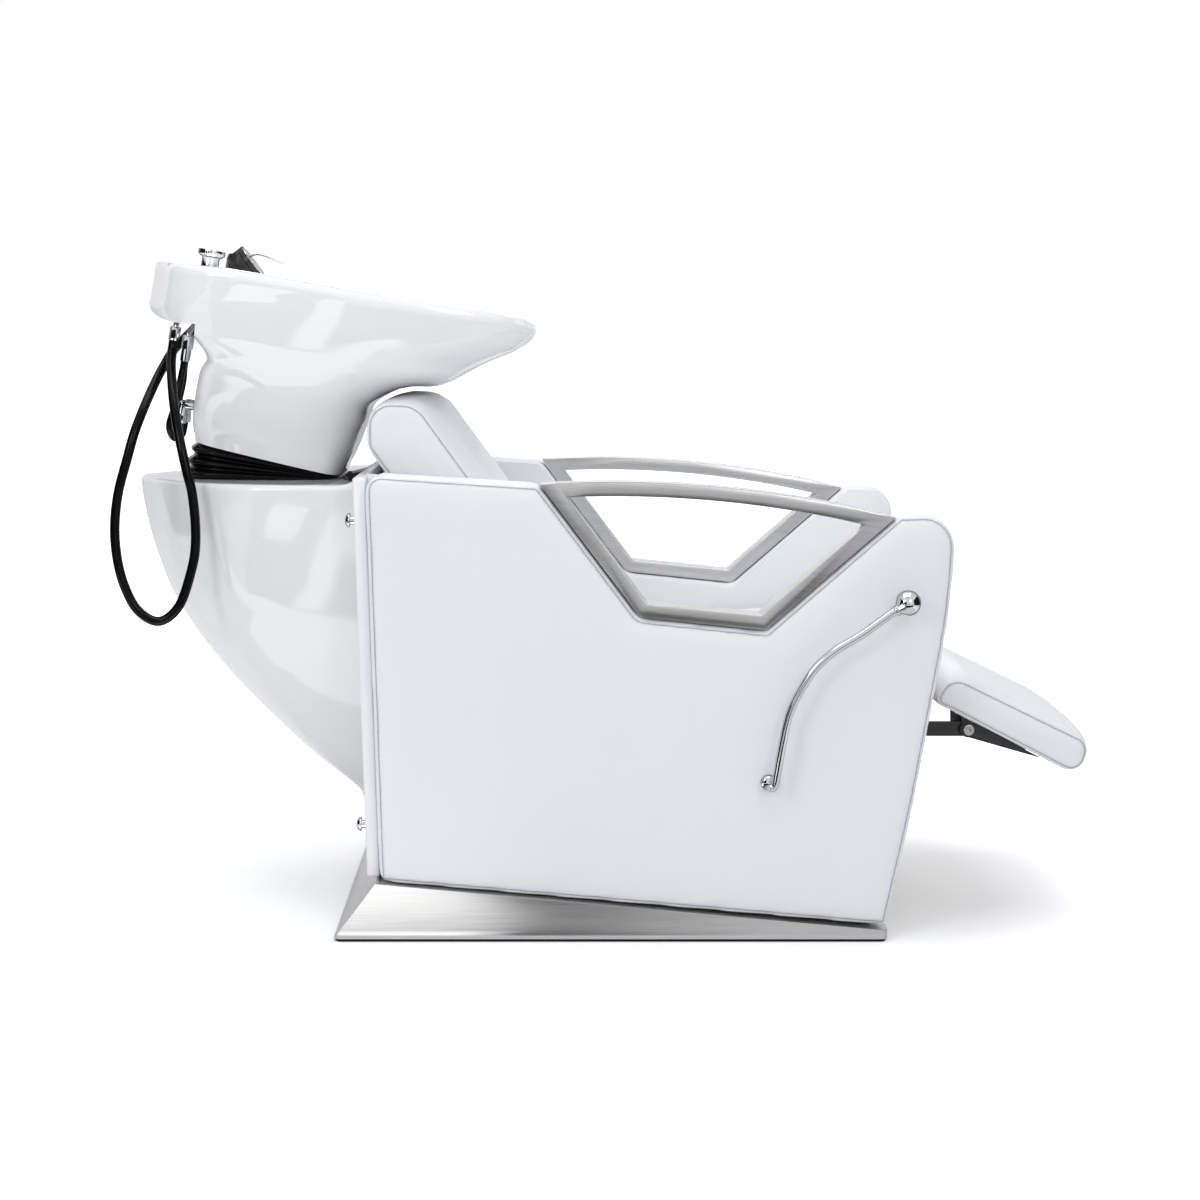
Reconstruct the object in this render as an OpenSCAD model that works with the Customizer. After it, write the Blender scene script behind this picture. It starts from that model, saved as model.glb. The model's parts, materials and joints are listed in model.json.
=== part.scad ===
// Wash chair with a folding leg rest, joined to a column with a tilting bowl.
// X points to the feet, Y across, Z up. The origin is the middle of the base, on the floor.
// An outline in the XZ plane is a list of corners [x, z, fillet radius], counter-clockwise.

/* [Base] */
// Length of the base
base_l = 800; // [780:5:840]
// Height of the plinth at its rear top edge
plinth_rear_h = 85; // [70:1:95]
// Height of the plinth at its front top edge
plinth_front_h = 18; // [14:1:22]
// Thickness of the plinth sheet
sheet_t = 3; // [2:0.5:4]
// Thickness of the rubber strip under the plinth
gasket_t = 4; // [3:1:5]
// Thickness of the floor plate
floor_plate_t = 6; // [4:1:8]
// Distance between the anchor holes along the base
anchor_dx = 600; // [560:10:640]
// Distance between the anchor holes across the base
anchor_dy = 480; // [440:10:520]
// Radius of an anchor hole
anchor_r = 5.5; // [4.5:0.5:7]

/* [Chair] */
// Width over the side pads
chair_w = 660; // [650:5:700]
// Thickness of a side pad
pad_t = 68; // [60:1:72]
// Thickness of a side board
side_board_t = 12; // [9:1:15]
// Thickness of the seat board
seat_board_t = 18; // [12:1:20]
// Thickness of the back board
back_board_t = 15; // [12:1:18]
// Thickness of the rear board
rear_board_t = 18; // [15:1:20]
// Gap between the seat, back and leg cushions and a side board
cushion_gap = 10; // [6:1:14]
// Rise of the middle of the seat cushion
seat_crown = 10; // [4:1:14]
// Rise of the middle of the back cushion
back_crown = 24; // [14:1:28]
// Rise of the middle of the leg cushion
leg_crown = 12; // [6:1:16]
// Width of the bar of an arm frame
arm_w = 50; // [40:1:52]
// Thickness of the bar of an arm frame
arm_t = 20; // [14:1:22]

/* [Leg rest] */
// Reach of a hinge block from its side board
block_reach = 28; // [26:1:34]
// Thickness of a link plate
link_t = 5; // [4:0.5:6]
// Gap between two link plates
link_gap = 1; // [0.6:0.1:1.5]
// Half height of a main link
link_half = 11; // [8:1:12]
// Radius of a main link's pins
link_pin_r = 5; // [4:0.5:6]
// Radius of a control link's pins
control_pin_r = 4; // [3:0.5:5]
// Arm of the crank and of the push rod's stud
crank_arm = 30; // [28:1:34]

/* [Lever] */
// Radius of the lever rod
rod_r = 5.5; // [4.5:0.5:6.5]
// Radius of the ball knob
ball_r = 18; // [15:1:20]
// Radius of the lever shaft
shaft_r = 8; // [7:0.5:9]

/* [Bowl] */
// Radius of the drain hole
drain_r = 22.5; // [20:0.5:25]
// Thickness of the bowl's deck
deck_t = 14; // [11:1:16]
// Radius of the hinge pin under the bowl
hinge_r = 6; // [5:0.5:7]
// Thickness of the carrier plate
carrier_t = 6; // [5:0.5:8]
// Radius of a carrier bolt
carrier_bolt_r = 4; // [3:0.5:5]
// Wall of the gaiter
gaiter_t = 2.5; // [2:0.5:3]
// Height of a pleat of the gaiter
pleat = 8; // [4:1:9]

/* [Fittings] */
// Radius of the shower guide's shank
guide_r = 14; // [13:0.5:15]
// Radius of the shower's stub in its guide
stub_r = 11; // [10:0.5:12]
// Radius of the mixer's base
mixer_r = 27.5; // [25:0.5:29]
// Radius of the mixer's shank
mixer_shank_r = 16; // [14:0.5:18]
// Radius of the shower hose
hose_r = 7; // [6:0.5:8]
// Radius of a feed hose
feed_r = 5; // [4:0.5:6]
// Radius of a mixer pipe
pipe_r = 4; // [3.5:0.5:5]

/* [Column] */
// Thickness of the column cover
cover_t = 4; // [3:0.5:6]
// Thickness of the cover's deck
cover_deck_t = 5; // [4:0.5:6]
// Thickness of a side plate of the bowl bracket
gusset_t = 6; // [5:0.5:8]
// Radius of the waste pipe
waste_r = 20; // [16:1:22]

/* [Hidden] */
$fn = 48;

white = [0.89, 0.89, 0.91];
gloss_white = [0.95, 0.95, 0.95];
steel = [0.72, 0.73, 0.75];
chrome = [0.82, 0.83, 0.85];
zinc = [0.78, 0.72, 0.55];
black = [0.08, 0.08, 0.09];
ply = [0.85, 0.76, 0.6];

// Gap between soft or curved neighbours, running clearance of a pin in its bore,
// and clearance of a shank or bolt in its hole
seat_gap = 0.3;
run = 0.05;
hole_gap = 1;

// Places across the object
pad_outer = chair_w / 2;
board_outer = pad_outer - pad_t;
board_inner = board_outer - side_board_t;
half_cushion = board_inner - cushion_gap;
function plane(i) = board_inner - block_reach - i * (link_t + link_gap);

// Top of the plinth and front face of the rear board
plinth_rear = [-339, plinth_rear_h];
plinth_front = [384, plinth_front_h];
board_top = [-353, 674.5];
board_foot = [-335, plinth_rear_h];
function along(a, b, x) = a.y + (b.y - a.y) * (x - a.x) / (b.x - a.x);
function plinth_top(x) = along(plinth_rear, plinth_front, x);
function board_x(z) = board_top.x + (board_foot.x - board_top.x)
    * (z - board_top.y) / (board_foot.y - board_top.y);
function board_back(z) = board_x(z) - rear_board_t;

// Side panel and arm frame
arm_front = [399, 614];
arm_rear = [-105, 659];
arm_low_front = [217, 453];
arm_low_rear = [38, 471];
arch_r = 1610;
panel_front = [399, plinth_front_h + 2];
belly = [436, 200];
knee = [482, 480];
nose = [489, 622];
arm_gap = 0.4;

// Cushion sections at their side seams
seat_corners = [[-25, 298, 12], [452, 338, 14], [458, 430, 34], [-30, 390, 12]];
back_corners = [[-99, 349, 10], [-18, 408, 12], [-281, 770, 45], [-356, 772, 36], [-356, 705, 30]];
leg_corners = [[472, 333, 14], [501, 321.5, 30], [694, 221.5, 24], [712, 276, 26], [497, 380, 30]];

// Leg rest linkage, and the lever's shaft
link_root = [428, 293];
link_tip = [528, 293];
control_root = [425.4, 291.6];
control_tip = [512, 296];
lever_axis = [223, 235];
crank_angle = -85;
crank_pin = lever_axis + crank_arm * [cos(crank_angle), sin(crank_angle)];
link_stud = link_root + crank_arm * [cos(crank_angle), sin(crank_angle)];
hub_r = 11;
hub_y = -(pad_outer + 15);
rod_y = -(pad_outer + 30);

// The bowl is drawn level, then turned about its hinge into its rest pose
bowl_hinge = [-420, 635];
bowl_tilt = 10;
deck_z = 924;
drain = [-490, 0];
guide = [-659, -50];
mixer = [-618, 20];
foot_cavity_z = 690;
hose_slope = [-sin(bowl_tilt), 0, -cos(bowl_tilt)];

// Column
cover_top = 645;
cover_deck_top = cover_top + cover_deck_t;
opening_x = [-600, -405];
opening_half = 90;

// Unit vector, planar cross product and value between two others
function unit(v) = v / norm(v);
function turn_of(u, v) = u.x * v.y - u.y * v.x;
function mix(a, b, w) = a + (b - a) * w;
function last(v) = v[len(v) - 1];

// Arc that rounds corner b, met from a and left towards c
arc_steps = 4;
function fillet(a, b, c, r) = let(
    u = unit(a - b),
    v = unit(c - b),
    half = acos(u * v) / 2,
    centre = b + unit(u + v) * r / sin(half),
    start = b + u * r / tan(half) - centre,
    turn = (turn_of(u, v) > 0 ? -1 : 1) * (180 - 2 * half),
    a0 = atan2(start.y, start.x))
    [for (i = [0:arc_steps]) centre + r * [cos(a0 + turn * i / arc_steps), sin(a0 + turn * i / arc_steps)]];

function flat(p) = [p[0], p[1]];
function rounded(c) = let(n = len(c)) [for (i = [0:n - 1]) each c[i][2] > 0
    ? fillet(flat(c[(i + n - 1) % n]), flat(c[i]), flat(c[(i + 1) % n]), c[i][2]) : [flat(c[i])]];

// Corner list moved inward by d, outward when d is below zero
function inset(c, d) = let(n = len(c)) [for (i = [0:n - 1]) let(
    b = flat(c[i]),
    u = unit(flat(c[(i + n - 1) % n]) - b),
    v = unit(flat(c[(i + 1) % n]) - b),
    way = turn_of(u, v) > 0 ? -1 : 1,
    p = b + way * unit(u + v) * d / sin(acos(u * v) / 2))
    [p.x, p.y, max(0.6, c[i][2] - way * d)]];

// Closed ring of plan or section points moved inward by d along its normals
function shrink(ring, d) = let(n = len(ring)) [for (i = [0:n - 1])
    let(t = unit(ring[(i + 1) % n] - ring[(i + n - 1) % n])) ring[i] + d * [-t.y, t.x]];

// Smooth curve through points: open, or closed when loop is true
function spline(a, b, c, d, w) = 0.5 * (2 * b + (c - a) * w + (2 * a - 5 * b + 4 * c - d) * w * w
    + (3 * b - a - 3 * c + d) * w * w * w);
function curve(p, steps) = let(n = len(p)) [for (i = [0:n - 2]) for (s = [0:steps - 1])
    spline(p[max(i - 1, 0)], p[i], p[i + 1], p[min(i + 2, n - 1)], s / steps), last(p)];
function loop_curve(p, steps) = let(n = len(p)) [for (i = [0:n - 1]) for (s = [0:steps - 1])
    spline(p[(i + n - 1) % n], p[i], p[(i + 1) % n], p[(i + 2) % n], s / steps)];

// Smooth route through points, straight over its first and last stretch
function route(p, steps) = concat([p[0]], curve([for (i = [1:len(p) - 2]) p[i]], steps), [last(p)]);

function reversed(p) = [for (i = [len(p) - 1:-1:0]) p[i]];

// Closed solid through rings of equal length, fanned to a point at each end.
// Seen from the first point each ring runs anticlockwise.
module skin(first, rings, end) {
    n = len(rings[0]);
    m = len(rings);
    points = [first, for (r = rings) each r, end];
    faces = [
        for (i = [0:n - 1]) [0, 1 + (i + 1) % n, 1 + i],
        for (k = [0:m - 2]) for (i = [0:n - 1]) each let(
            a = 1 + k * n + i,
            b = 1 + k * n + (i + 1) % n) [[a, b, b + n], [a, b + n, a + n]],
        for (i = [0:n - 1]) [1 + m * n, 1 + (m - 1) * n + i, 1 + (m - 1) * n + (i + 1) % n]];
    polyhedron(points, faces);
}

// Closed solid through rings that join up end to end
module skin_loop(rings) {
    n = len(rings[0]);
    m = len(rings);
    faces = [for (k = [0:m - 1]) for (i = [0:n - 1]) each let(
        a = k * n + i,
        b = k * n + (i + 1) % n,
        c = (k + 1) % m * n + (i + 1) % n,
        d = (k + 1) % m * n + i) [[a, b, c], [a, c, d]]];
    polyhedron([for (r = rings) each r], faces);
}

// Bar of round section along points, square at both ends
function ring_about(p, t, r, sides) = let(
    u = unit(cross(t, abs(t.y) > 0.9 ? [1, 0, 0] : [0, 1, 0])),
    v = cross(u, t)) [for (j = [0:sides - 1]) p + r * (cos(360 * j / sides) * u + sin(360 * j / sides) * v)];
function matched(rings, done = []) = len(done) == len(rings) ? done : let(
    k = len(done),
    n = len(rings[0]),
    gaps = k == 0 ? [] : [for (s = [0:n - 1]) norm(rings[k][s] - done[k - 1][0])],
    s = k == 0 ? 0 : [for (i = [0:n - 1]) if (gaps[i] == min(gaps)) i][0])
    matched(rings, concat(done, [[for (i = [0:n - 1]) rings[k][(i + s) % n]]]));
module tube(points, r, sides = 8) {
    n = len(points);
    heads = [for (i = [0:n - 1]) unit(points[min(i + 1, n - 1)] - points[max(i - 1, 0)])];
    skin(points[0], matched([for (i = [0:n - 1]) ring_about(points[i], heads[i], r, sides)]), last(points));
}

// Prism of an XZ outline between two planes across Y
module slab(outline, y0, y1) {
    translate([0, y1, 0]) rotate([90, 0, 0]) linear_extrude(y1 - y0) polygon(outline);
}

// Round bar across Y, through the XZ place at
module pin(at, r, y0, y1) {
    translate([at.x, y1, at.y]) rotate([90, 0, 0]) cylinder(h = y1 - y0, r = r);
}

// Flat bar with round ends between two XZ places
module link(a, b, half, ra, rb, y0, y1) {
    side = half * [-(b - a).y, (b - a).x] / norm(b - a);
    pin(a, ra, y0, y1);
    pin(b, rb, y0, y1);
    slab([a - side, b - side, b + side, a + side], y0, y1);
}

module both_sides() {
    children();
    mirror([0, 1, 0]) children();
}

module box_at(low, high) {
    translate(low) cube(high - low);
}

// Turns what is drawn about the level bowl into its rest pose
module at_bowl(turn = bowl_tilt) {
    translate([bowl_hinge.x, 0, bowl_hinge.y]) rotate([0, turn, 0])
        translate([-bowl_hinge.x, 0, -bowl_hinge.y]) children();
}

// Base

module rounded_plate(size, r, z0, z1) {
    translate([0, 0, z0]) linear_extrude(z1 - z0)
        polygon(rounded([for (s = [[-1, -1], [1, -1], [1, 1], [-1, 1]]) [s.x * size.x / 2, s.y * size.y / 2, r]]));
}

gasket_rim = 15;
gasket_inset = 2;
gasket_size = [base_l - 2 * gasket_inset, chair_w - 2 * gasket_inset];
plate_size = [gasket_size.x - 2 * gasket_rim - 2 * seat_gap, gasket_size.y - 2 * gasket_rim - 2 * seat_gap];
pipe_hole_x = [-330, -170];
pipe_hole_half = 80;

module floor_gasket() {
    color(black) difference() {
        rounded_plate(gasket_size, 9, 0, gasket_t);
        rounded_plate([gasket_size.x - 2 * gasket_rim, gasket_size.y - 2 * gasket_rim], 6, -1, gasket_t + 1);
    }
}

module floor_plate() {
    color(steel) difference() {
        rounded_plate(plate_size, 5, 0, floor_plate_t);
        for (x = [-1, 1], y = [-1, 1])
            translate([x * anchor_dx / 2, y * anchor_dy / 2, -1]) cylinder(h = floor_plate_t + 2, r = anchor_r);
        box_at([pipe_hole_x[0], -pipe_hole_half, -1], [pipe_hole_x[1], pipe_hole_half, floor_plate_t + 1]);
    }
}

// Side outline of the plinth, drawn in by d
flange = 90;
plinth_corner_r = 10;
function plinth_side(d) = [[-base_l / 2 + d, gasket_t], [base_l / 2 - d, gasket_t],
    [base_l / 2 - d, plinth_front.y - 1 - d], [plinth_front.x - d, plinth_top(plinth_front.x) - d],
    [plinth_rear.x + d / 2, plinth_rear.y - d]];

module plinth_block(d, extra) {
    intersection() {
        slab(plinth_side(d), -chair_w / 2 + d, chair_w / 2 - d);
        rounded_plate([base_l - 2 * d, chair_w - 2 * d], plinth_corner_r - d, 0, plinth_rear_h + extra);
    }
}

module plinth_shell() {
    color(steel) difference() {
        plinth_block(0, 1);
        plinth_block(sheet_t, 0);
        box_at([-base_l / 2 + 20, -chair_w / 2 + sheet_t + 3, gasket_t - 1],
            [base_l / 2 - 20, chair_w / 2 - sheet_t - 3, gasket_t + 0.5]);
        box_at([plinth_rear.x + 20, -chair_w / 2 + flange, gasket_t + 1],
            [plinth_front.x - flange, chair_w / 2 - flange, plinth_rear_h + 1]);
    }
}

// Side panels: a board inside, an upholstered pad outside, both with the arm frame's notch

// Corners of the arm frame: low front, front, rear, low rear
arm_fillet = [3, 0, 0, 20];
arm_corners = [for (i = [0:3]) let(c = [arm_low_front, arm_front, arm_rear, arm_low_rear][i]) [c.x, c.y, arm_fillet[i]]];
arm_slot = inset(arm_corners, -arm_gap);
notch_lip = 6;
notch_front = flat(arm_slot[1]) + notch_lip * unit(arm_front - arm_low_front);

panel_corners = [
    [board_foot.x, plinth_top(board_foot.x) + seat_gap, 8],
    [panel_front.x, panel_front.y, 6],
    [belly.x, belly.y, 2500],
    [knee.x, knee.y, 1000],
    [nose.x, nose.y, 48],
    [notch_front.x, notch_front.y, 8],
    [arm_slot[0].x, arm_slot[0].y, 3],
    [arm_slot[3].x, arm_slot[3].y, 18],
    [arm_slot[2].x, arm_slot[2].y, 14],
    [board_top.x, board_top.y, 24]];
panel_middle = [50, 260];

// Rings of a pad: inward move, share of the way to the middle, depth from the outer face
pad_rings = [[40, 0.5, 0.5], [40, 0, 2], [11, 0, 4], [8, 0, 6.5], [5.5, 0, 4.5], [2.5, 0, 6],
    [0.5, 0, 10], [1.2, 0, pad_t / 2], [0.5, 0, pad_t - 10], [3, 0, pad_t - 3], [6, 0, pad_t]];

module side_pad() {
    function at(p, depth) = [p.x, -pad_outer + depth, p.y];
    rings = [for (r = pad_rings) [for (p = rounded(inset(panel_corners, r[0]))) at(mix(p, panel_middle, r[1]), r[2])]];
    difference() {
        skin(at(panel_middle, 0), rings, at(panel_middle, pad_t));
        pin(lever_axis, shaft_r + 4.5, -pad_outer - 1, -board_outer + 1);
    }
}

module side_pad_near() {
    color(white) side_pad();
}

module side_pad_far() {
    color(white) mirror([0, 1, 0]) side_pad();
}

// The board stands on the plinth and ends on the rear board
board_rim = 6;
module side_board() {
    inner = inset(panel_corners, board_rim);
    corners = [
        [board_x(plinth_top(board_foot.x)), plinth_top(board_foot.x), 0],
        [panel_front.x - board_rim - 9, plinth_top(panel_front.x - board_rim - 9), 4],
        for (i = [2:8]) inner[i],
        [board_x(board_top.y - board_rim), board_top.y - board_rim, 0]];
    difference() {
        slab(rounded(corners), -board_outer, -board_inner);
        children();
    }
}

module side_board_near() {
    color(ply) side_board() pin(lever_axis, bush_r, -board_outer - 1, -board_inner + 1);
}

module side_board_far() {
    color(ply) mirror([0, 1, 0]) side_board();
}

// Arm frame of flat bar, arched over the top
arm_y = [-board_outer - 12, -board_outer - 12 - arm_w];
arch_mid = (arm_front + arm_rear) / 2;
arch_rise = 20;
arch_up = unit([-(arm_front - arm_rear).y, (arm_front - arm_rear).x]);
arch_centre = arch_mid - (arch_r - arch_rise) * arch_up;
arm_tall = 60;

function arm_section(d) = let(
    c = inset(arm_corners, d),
    up_front = flat(c[1]) + arm_tall * unit(arm_front - arm_low_front),
    up_rear = flat(c[2]) + arm_tall * unit(arm_rear - arm_low_rear))
    rounded([[c[0].x, c[0].y, d > 0 ? 0 : arm_fillet[0]], [up_front.x, up_front.y, 0],
        [up_rear.x, up_rear.y, 0], [c[3].x, c[3].y, d > 0 ? 0 : arm_fillet[3]]]);

module arm_area(d) {
    intersection() {
        polygon(arm_section(d));
        translate(arch_centre) circle(r = arch_r - d, $fn = 480);
    }
}

module armrest() {
    translate([0, arm_y[0], 0]) rotate([90, 0, 0]) linear_extrude(arm_w) difference() {
        arm_area(0);
        arm_area(arm_t);
    }
}

module armrest_near() {
    color(steel) armrest();
}

module armrest_far() {
    color(steel) mirror([0, 1, 0]) armrest();
}

// Boards under the cushions, and the board at the back

seat_rear = flat(seat_corners[0]);
seat_front = flat(seat_corners[1]);
back_low = flat(back_corners[0]);
back_high = [-330, 668];
function beside(a, b, d) = let(n = unit(b - a)) [a + d * [n.y, -n.x], b + d * [n.y, -n.x]];

module seat_board() {
    low = beside(seat_rear, seat_front, seat_board_t + seat_gap);
    high = beside(seat_rear, seat_front, seat_gap);
    color(ply) slab([low[0], low[1], high[1], high[0]], -board_inner, board_inner);
}

module back_board() {
    front = beside(back_high, back_low, seat_gap);
    rear = beside(back_high, back_low, seat_gap + back_board_t);
    color(ply) slab([front[0], front[1], rear[1], rear[0]], -board_inner, board_inner);
}

rear_board_y = 300;
rear_board_z = [88, 665];
board_hole_z = [250, 450];
board_hole_half = 60;
module rear_board() {
    color(white) difference() {
        slab([[board_x(rear_board_z[0]), rear_board_z[0]], [board_x(rear_board_z[1]), rear_board_z[1]],
            [board_back(rear_board_z[1]), rear_board_z[1]], [board_back(rear_board_z[0]), rear_board_z[0]]],
            -rear_board_y, rear_board_y);
        box_at([board_top.x - 50, -board_hole_half, board_hole_z[0]],
            [board_foot.x + 50, board_hole_half, board_hole_z[1]]);
    }
}

module rear_screws() {
    lean = atan2(board_foot.x - board_top.x, board_top.y - board_foot.y);
    color(chrome) for (z = [163, 604], y = [-285, 285])
        translate([board_back(z), y, z]) rotate([0, -90 - lean, 0]) {
            cylinder(h = 7, r = 6);
            translate([0, 0, 6]) cylinder(h = 3, r = 10);
            translate([0, 0, 9]) cylinder(h = 4, r1 = 9, r2 = 5);
        }
}

// Steel angles below the seat board and behind the back board, on the side boards
module angle_bar(a, b, leg, t) {
    back = beside(a, b, t);
    foot = beside(a, b, leg);
    slab([back[0], back[1], b, a], board_inner - leg, board_inner);
    slab([foot[0], foot[1], b, a], board_inner - t, board_inner);
}

module board_brackets() {
    under = beside(seat_rear, seat_front, seat_board_t + seat_gap);
    behind = beside(back_high, back_low, seat_gap + back_board_t);
    color(steel) both_sides() {
        angle_bar(mix(under[0], under[1], 0.08), mix(under[0], under[1], 0.6), 30, 3);
        angle_bar(mix(behind[0], behind[1], 0.15), mix(behind[0], behind[1], 0.9), 30, 3);
    }
}

// Cushions: sections across Y, fuller in the middle, with a piped seam at each side

// Rings of one side: inward move, distance from the side, share of the crown
side_rings = [[12.5, 0, 0], [10, 1.5, 0], [7, 4, 0], [3, 2.5, 0], [0.6, 5, 0], [0, 8, 0], [1.2, 12, 0.02],
    [0, 24, 0.3], [0, 60, 0.62], [0, 120, 0.88]];

module cushion(corners, middle) {
    half = half_cushion;
    function level(i) = [for (j = [0:len(corners) - 1]) mix(corners[j], middle[j], i)];
    function ring(r, y) = [for (p = rounded(inset(level(r[2]), r[0]))) [p.x, y, p.y]];
    sum = [for (c = corners) 1] * [for (c = corners) flat(c)] / len(corners);
    near = [for (r = side_rings) ring(r, -half + r[1])];
    far = [for (i = [len(side_rings) - 1:-1:0]) ring(side_rings[i], half - side_rings[i][1])];
    skin([sum.x, -half + 0.5, sum.y], concat(near, [ring([0, 0, 1], 0)], far), [sum.x, half - 0.5, sum.y]);
}

// Corner list with corner i moved by v
function moved(c, i, v) = [for (j = [0:len(c) - 1]) j == i ? c[j] + [v.x, v.y, 0] : c[j]];

module seat_cushion() {
    color(white) cushion(seat_corners,
        moved(moved(seat_corners, 2, [seat_crown / 3, seat_crown]), 3, [0, seat_crown]));
}

module back_cushion() {
    color(white) cushion(back_corners,
        moved(moved(back_corners, 1, back_crown * [0.8, 0.6]), 2, back_crown * [0.8, 0.4]));
}

module leg_cushion() {
    color(white) cushion(leg_corners,
        moved(moved(leg_corners, 3, leg_crown * [0.5, 0.9]), 4, leg_crown * [0.2, 1]));
}

// Leg rest linkage

block_x = [408, 448];
block_z = [266, 314];
module hinge_blocks() {
    color(black) both_sides() {
        box_at([block_x[0], plane(0), block_z[0]], [block_x[1], board_inner, block_z[1]]);
        pin(link_root, link_pin_r, plane(1) - 0.4, plane(0));
    }
}

root_plate_t = 4;
module control_brackets() {
    under = beside(seat_rear, seat_front, seat_board_t + seat_gap);
    x = [control_root.x - 24, control_root.x + 14];
    z = [along(under[0], under[1], x[0]), along(under[0], under[1], x[1])];
    color(black) both_sides() {
        slab([[control_root.x - 9, control_root.y], [control_root.x + 9, control_root.y],
            [x[1], z[1]], [x[0], z[0]]], plane(3), plane(3) + link_t);
        slab([[x[0], z[0] - root_plate_t], [x[1], z[1] - root_plate_t], [x[1], z[1]], [x[0], z[0]]],
            plane(3) - 24, plane(3) + link_t);
        pin(control_root, 9, plane(3), plane(3) + link_t);
        pin(control_root, control_pin_r, plane(3) + link_t, plane(2) + link_t - 0.1);
    }
}

module leg_link(studded) {
    difference() {
        union() {
            link(link_root, link_tip, link_half, 13, 12, plane(1), plane(1) + link_t);
            if (studded) {
                link(link_root, link_stud, 8, 9, 9, plane(1), plane(1) + link_t);
                pin(link_stud, link_pin_r, plane(2) + 0.2, plane(1));
            }
        }
        pin(link_root, link_pin_r + run, plane(1) - 1, plane(0));
        pin(link_tip, link_pin_r + run, plane(1) - 1, plane(0));
    }
}

module leg_link_near() {
    color(black) mirror([0, 1, 0]) leg_link(true);
}

module leg_link_far() {
    color(black) leg_link(false);
}

// The tip eye is wide enough for the small drift of the open pivot
tip_slack = 0.5;
module control_links() {
    color(black) both_sides() difference() {
        link(control_root, control_tip, 7, 9, 8, plane(2), plane(2) + link_t);
        pin(control_root, control_pin_r + run, plane(2) - 1, plane(2) + link_t + 1);
        pin(control_tip, control_pin_r + tip_slack, plane(2) - 1, plane(2) + link_t + 1);
    }
}

leg_line = [flat(leg_corners[1]), flat(leg_corners[2])];
leg_down = [(leg_line[1] - leg_line[0]).y, -(leg_line[1] - leg_line[0]).x] / norm(leg_line[1] - leg_line[0]);
function leg_place(s, d) = leg_line[0] + s * unit(leg_line[1] - leg_line[0]) + d * leg_down;
cheek_r = 12;
cheek_end = 150;
bracket_plate_t = 3;

module leg_bracket() {
    top = seat_gap;
    color(black) both_sides() {
        difference() {
            union() {
                pin(link_tip, cheek_r, plane(0), plane(0) + link_t);
                slab([link_tip + (cheek_r - 0.6) * leg_down, leg_place(cheek_end, top + 1),
                    leg_place(cheek_end, top), leg_place(18, top)], plane(0), plane(0) + link_t);
            }
            pin(link_tip, link_pin_r + run, plane(0) - 1, plane(0) + link_t + 1);
        }
        pin(control_tip, 8, plane(3), plane(3) + link_t);
        slab([control_tip + [-7, 0], control_tip + [5, -5], leg_place(75, top + 2.5), leg_place(75, top + 0.7),
            leg_place(4, top + 0.7)], plane(3), plane(3) + link_t);
        pin(control_tip, control_pin_r, plane(3) + link_t - 1, plane(2) + link_t - 0.1);
    }
    color(black) slab([leg_place(55, top + 0.2 + bracket_plate_t), leg_place(130, top + 0.2 + bracket_plate_t),
        leg_place(130, top + 0.2), leg_place(55, top + 0.2)], -plane(0) - 1, plane(0) + 1);
}

module leg_bolts() {
    color(zinc) both_sides() {
        pin(link_tip, link_pin_r, plane(1) - 0.2, plane(0) + link_t);
        difference() {
            pin(link_tip, link_pin_r + 3, plane(0) + link_t, plane(0) + link_t + 5);
            translate([link_tip.x, plane(0) + link_t + 6, link_tip.y]) rotate([90, 0, 0]) cylinder(h = 4, r = 3, $fn = 6);
        }
    }
}

// Lever on the near side

bush_r = shaft_r + 4;
module lever_bush() {
    color(zinc) difference() {
        union() {
            pin(lever_axis, bush_r, -board_outer, -board_inner);
            pin(lever_axis, bush_r + 4, -board_inner, -board_inner + 3);
        }
        pin(lever_axis, shaft_r + run, -board_outer - 1, -board_inner + 4);
    }
}

module lever_hub() {
    color(chrome) pin(lever_axis, hub_r, hub_y - 20, hub_y);
}

module lever_shaft() {
    color(steel) {
        pin(lever_axis, shaft_r, hub_y, -plane(1) - 0.1);
        link(lever_axis, crank_pin, 8, 13, 9, -plane(1) - link_t, -plane(1));
        pin(crank_pin, link_pin_r, -plane(1), -plane(2) - 0.2);
    }
}

// Centre line of the rod from the hub to the ball
rod_points = [[229, 235], [237, 282], [245, 326], [252, 349], [267, 378], [284, 404], [310, 428], [347, 451],
    [395, 486], [404, 492]];
ball_at = [413, 497];
module lever_rod() {
    line = curve([for (p = rod_points) [p.x, rod_y, p.y]], 2);
    color(chrome) difference() {
        tube(line, rod_r, 12);
        pin(lever_axis, hub_r + 0.02, hub_y - 30, hub_y + 10);
        translate([ball_at.x, rod_y, ball_at.y]) sphere(r = ball_r - 0.02);
    }
}

module lever_ball() {
    color(chrome) translate([ball_at.x, rod_y, ball_at.y]) sphere(r = ball_r);
}

module push_rod() {
    color(black) difference() {
        link(crank_pin, link_stud, 7, 9, 9, -plane(2) - link_t, -plane(2));
        pin(crank_pin, link_pin_r + run, -plane(2) - link_t - 1, -plane(2) + 1);
        pin(link_stud, link_pin_r + tip_slack, -plane(2) - link_t - 1, -plane(2) + 1);
    }
}

// Column cover: plan rings that shrink along the side silhouette

cover_plan = [[-721, 0], [-700, 60], [-660, 125], [-600, 200], [-530, 230], [-450, 245], [-371, 250]];
cover_side = [[-385, 150], [-393, 164], [-419, 185], [-466, 222], [-520, 273], [-574, 328], [-620, 383],
    [-654, 433], [-678, 477], [-695, 523], [-707, 563], [-717, 610], [-721, 645]];
cover_steps = 3;

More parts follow.
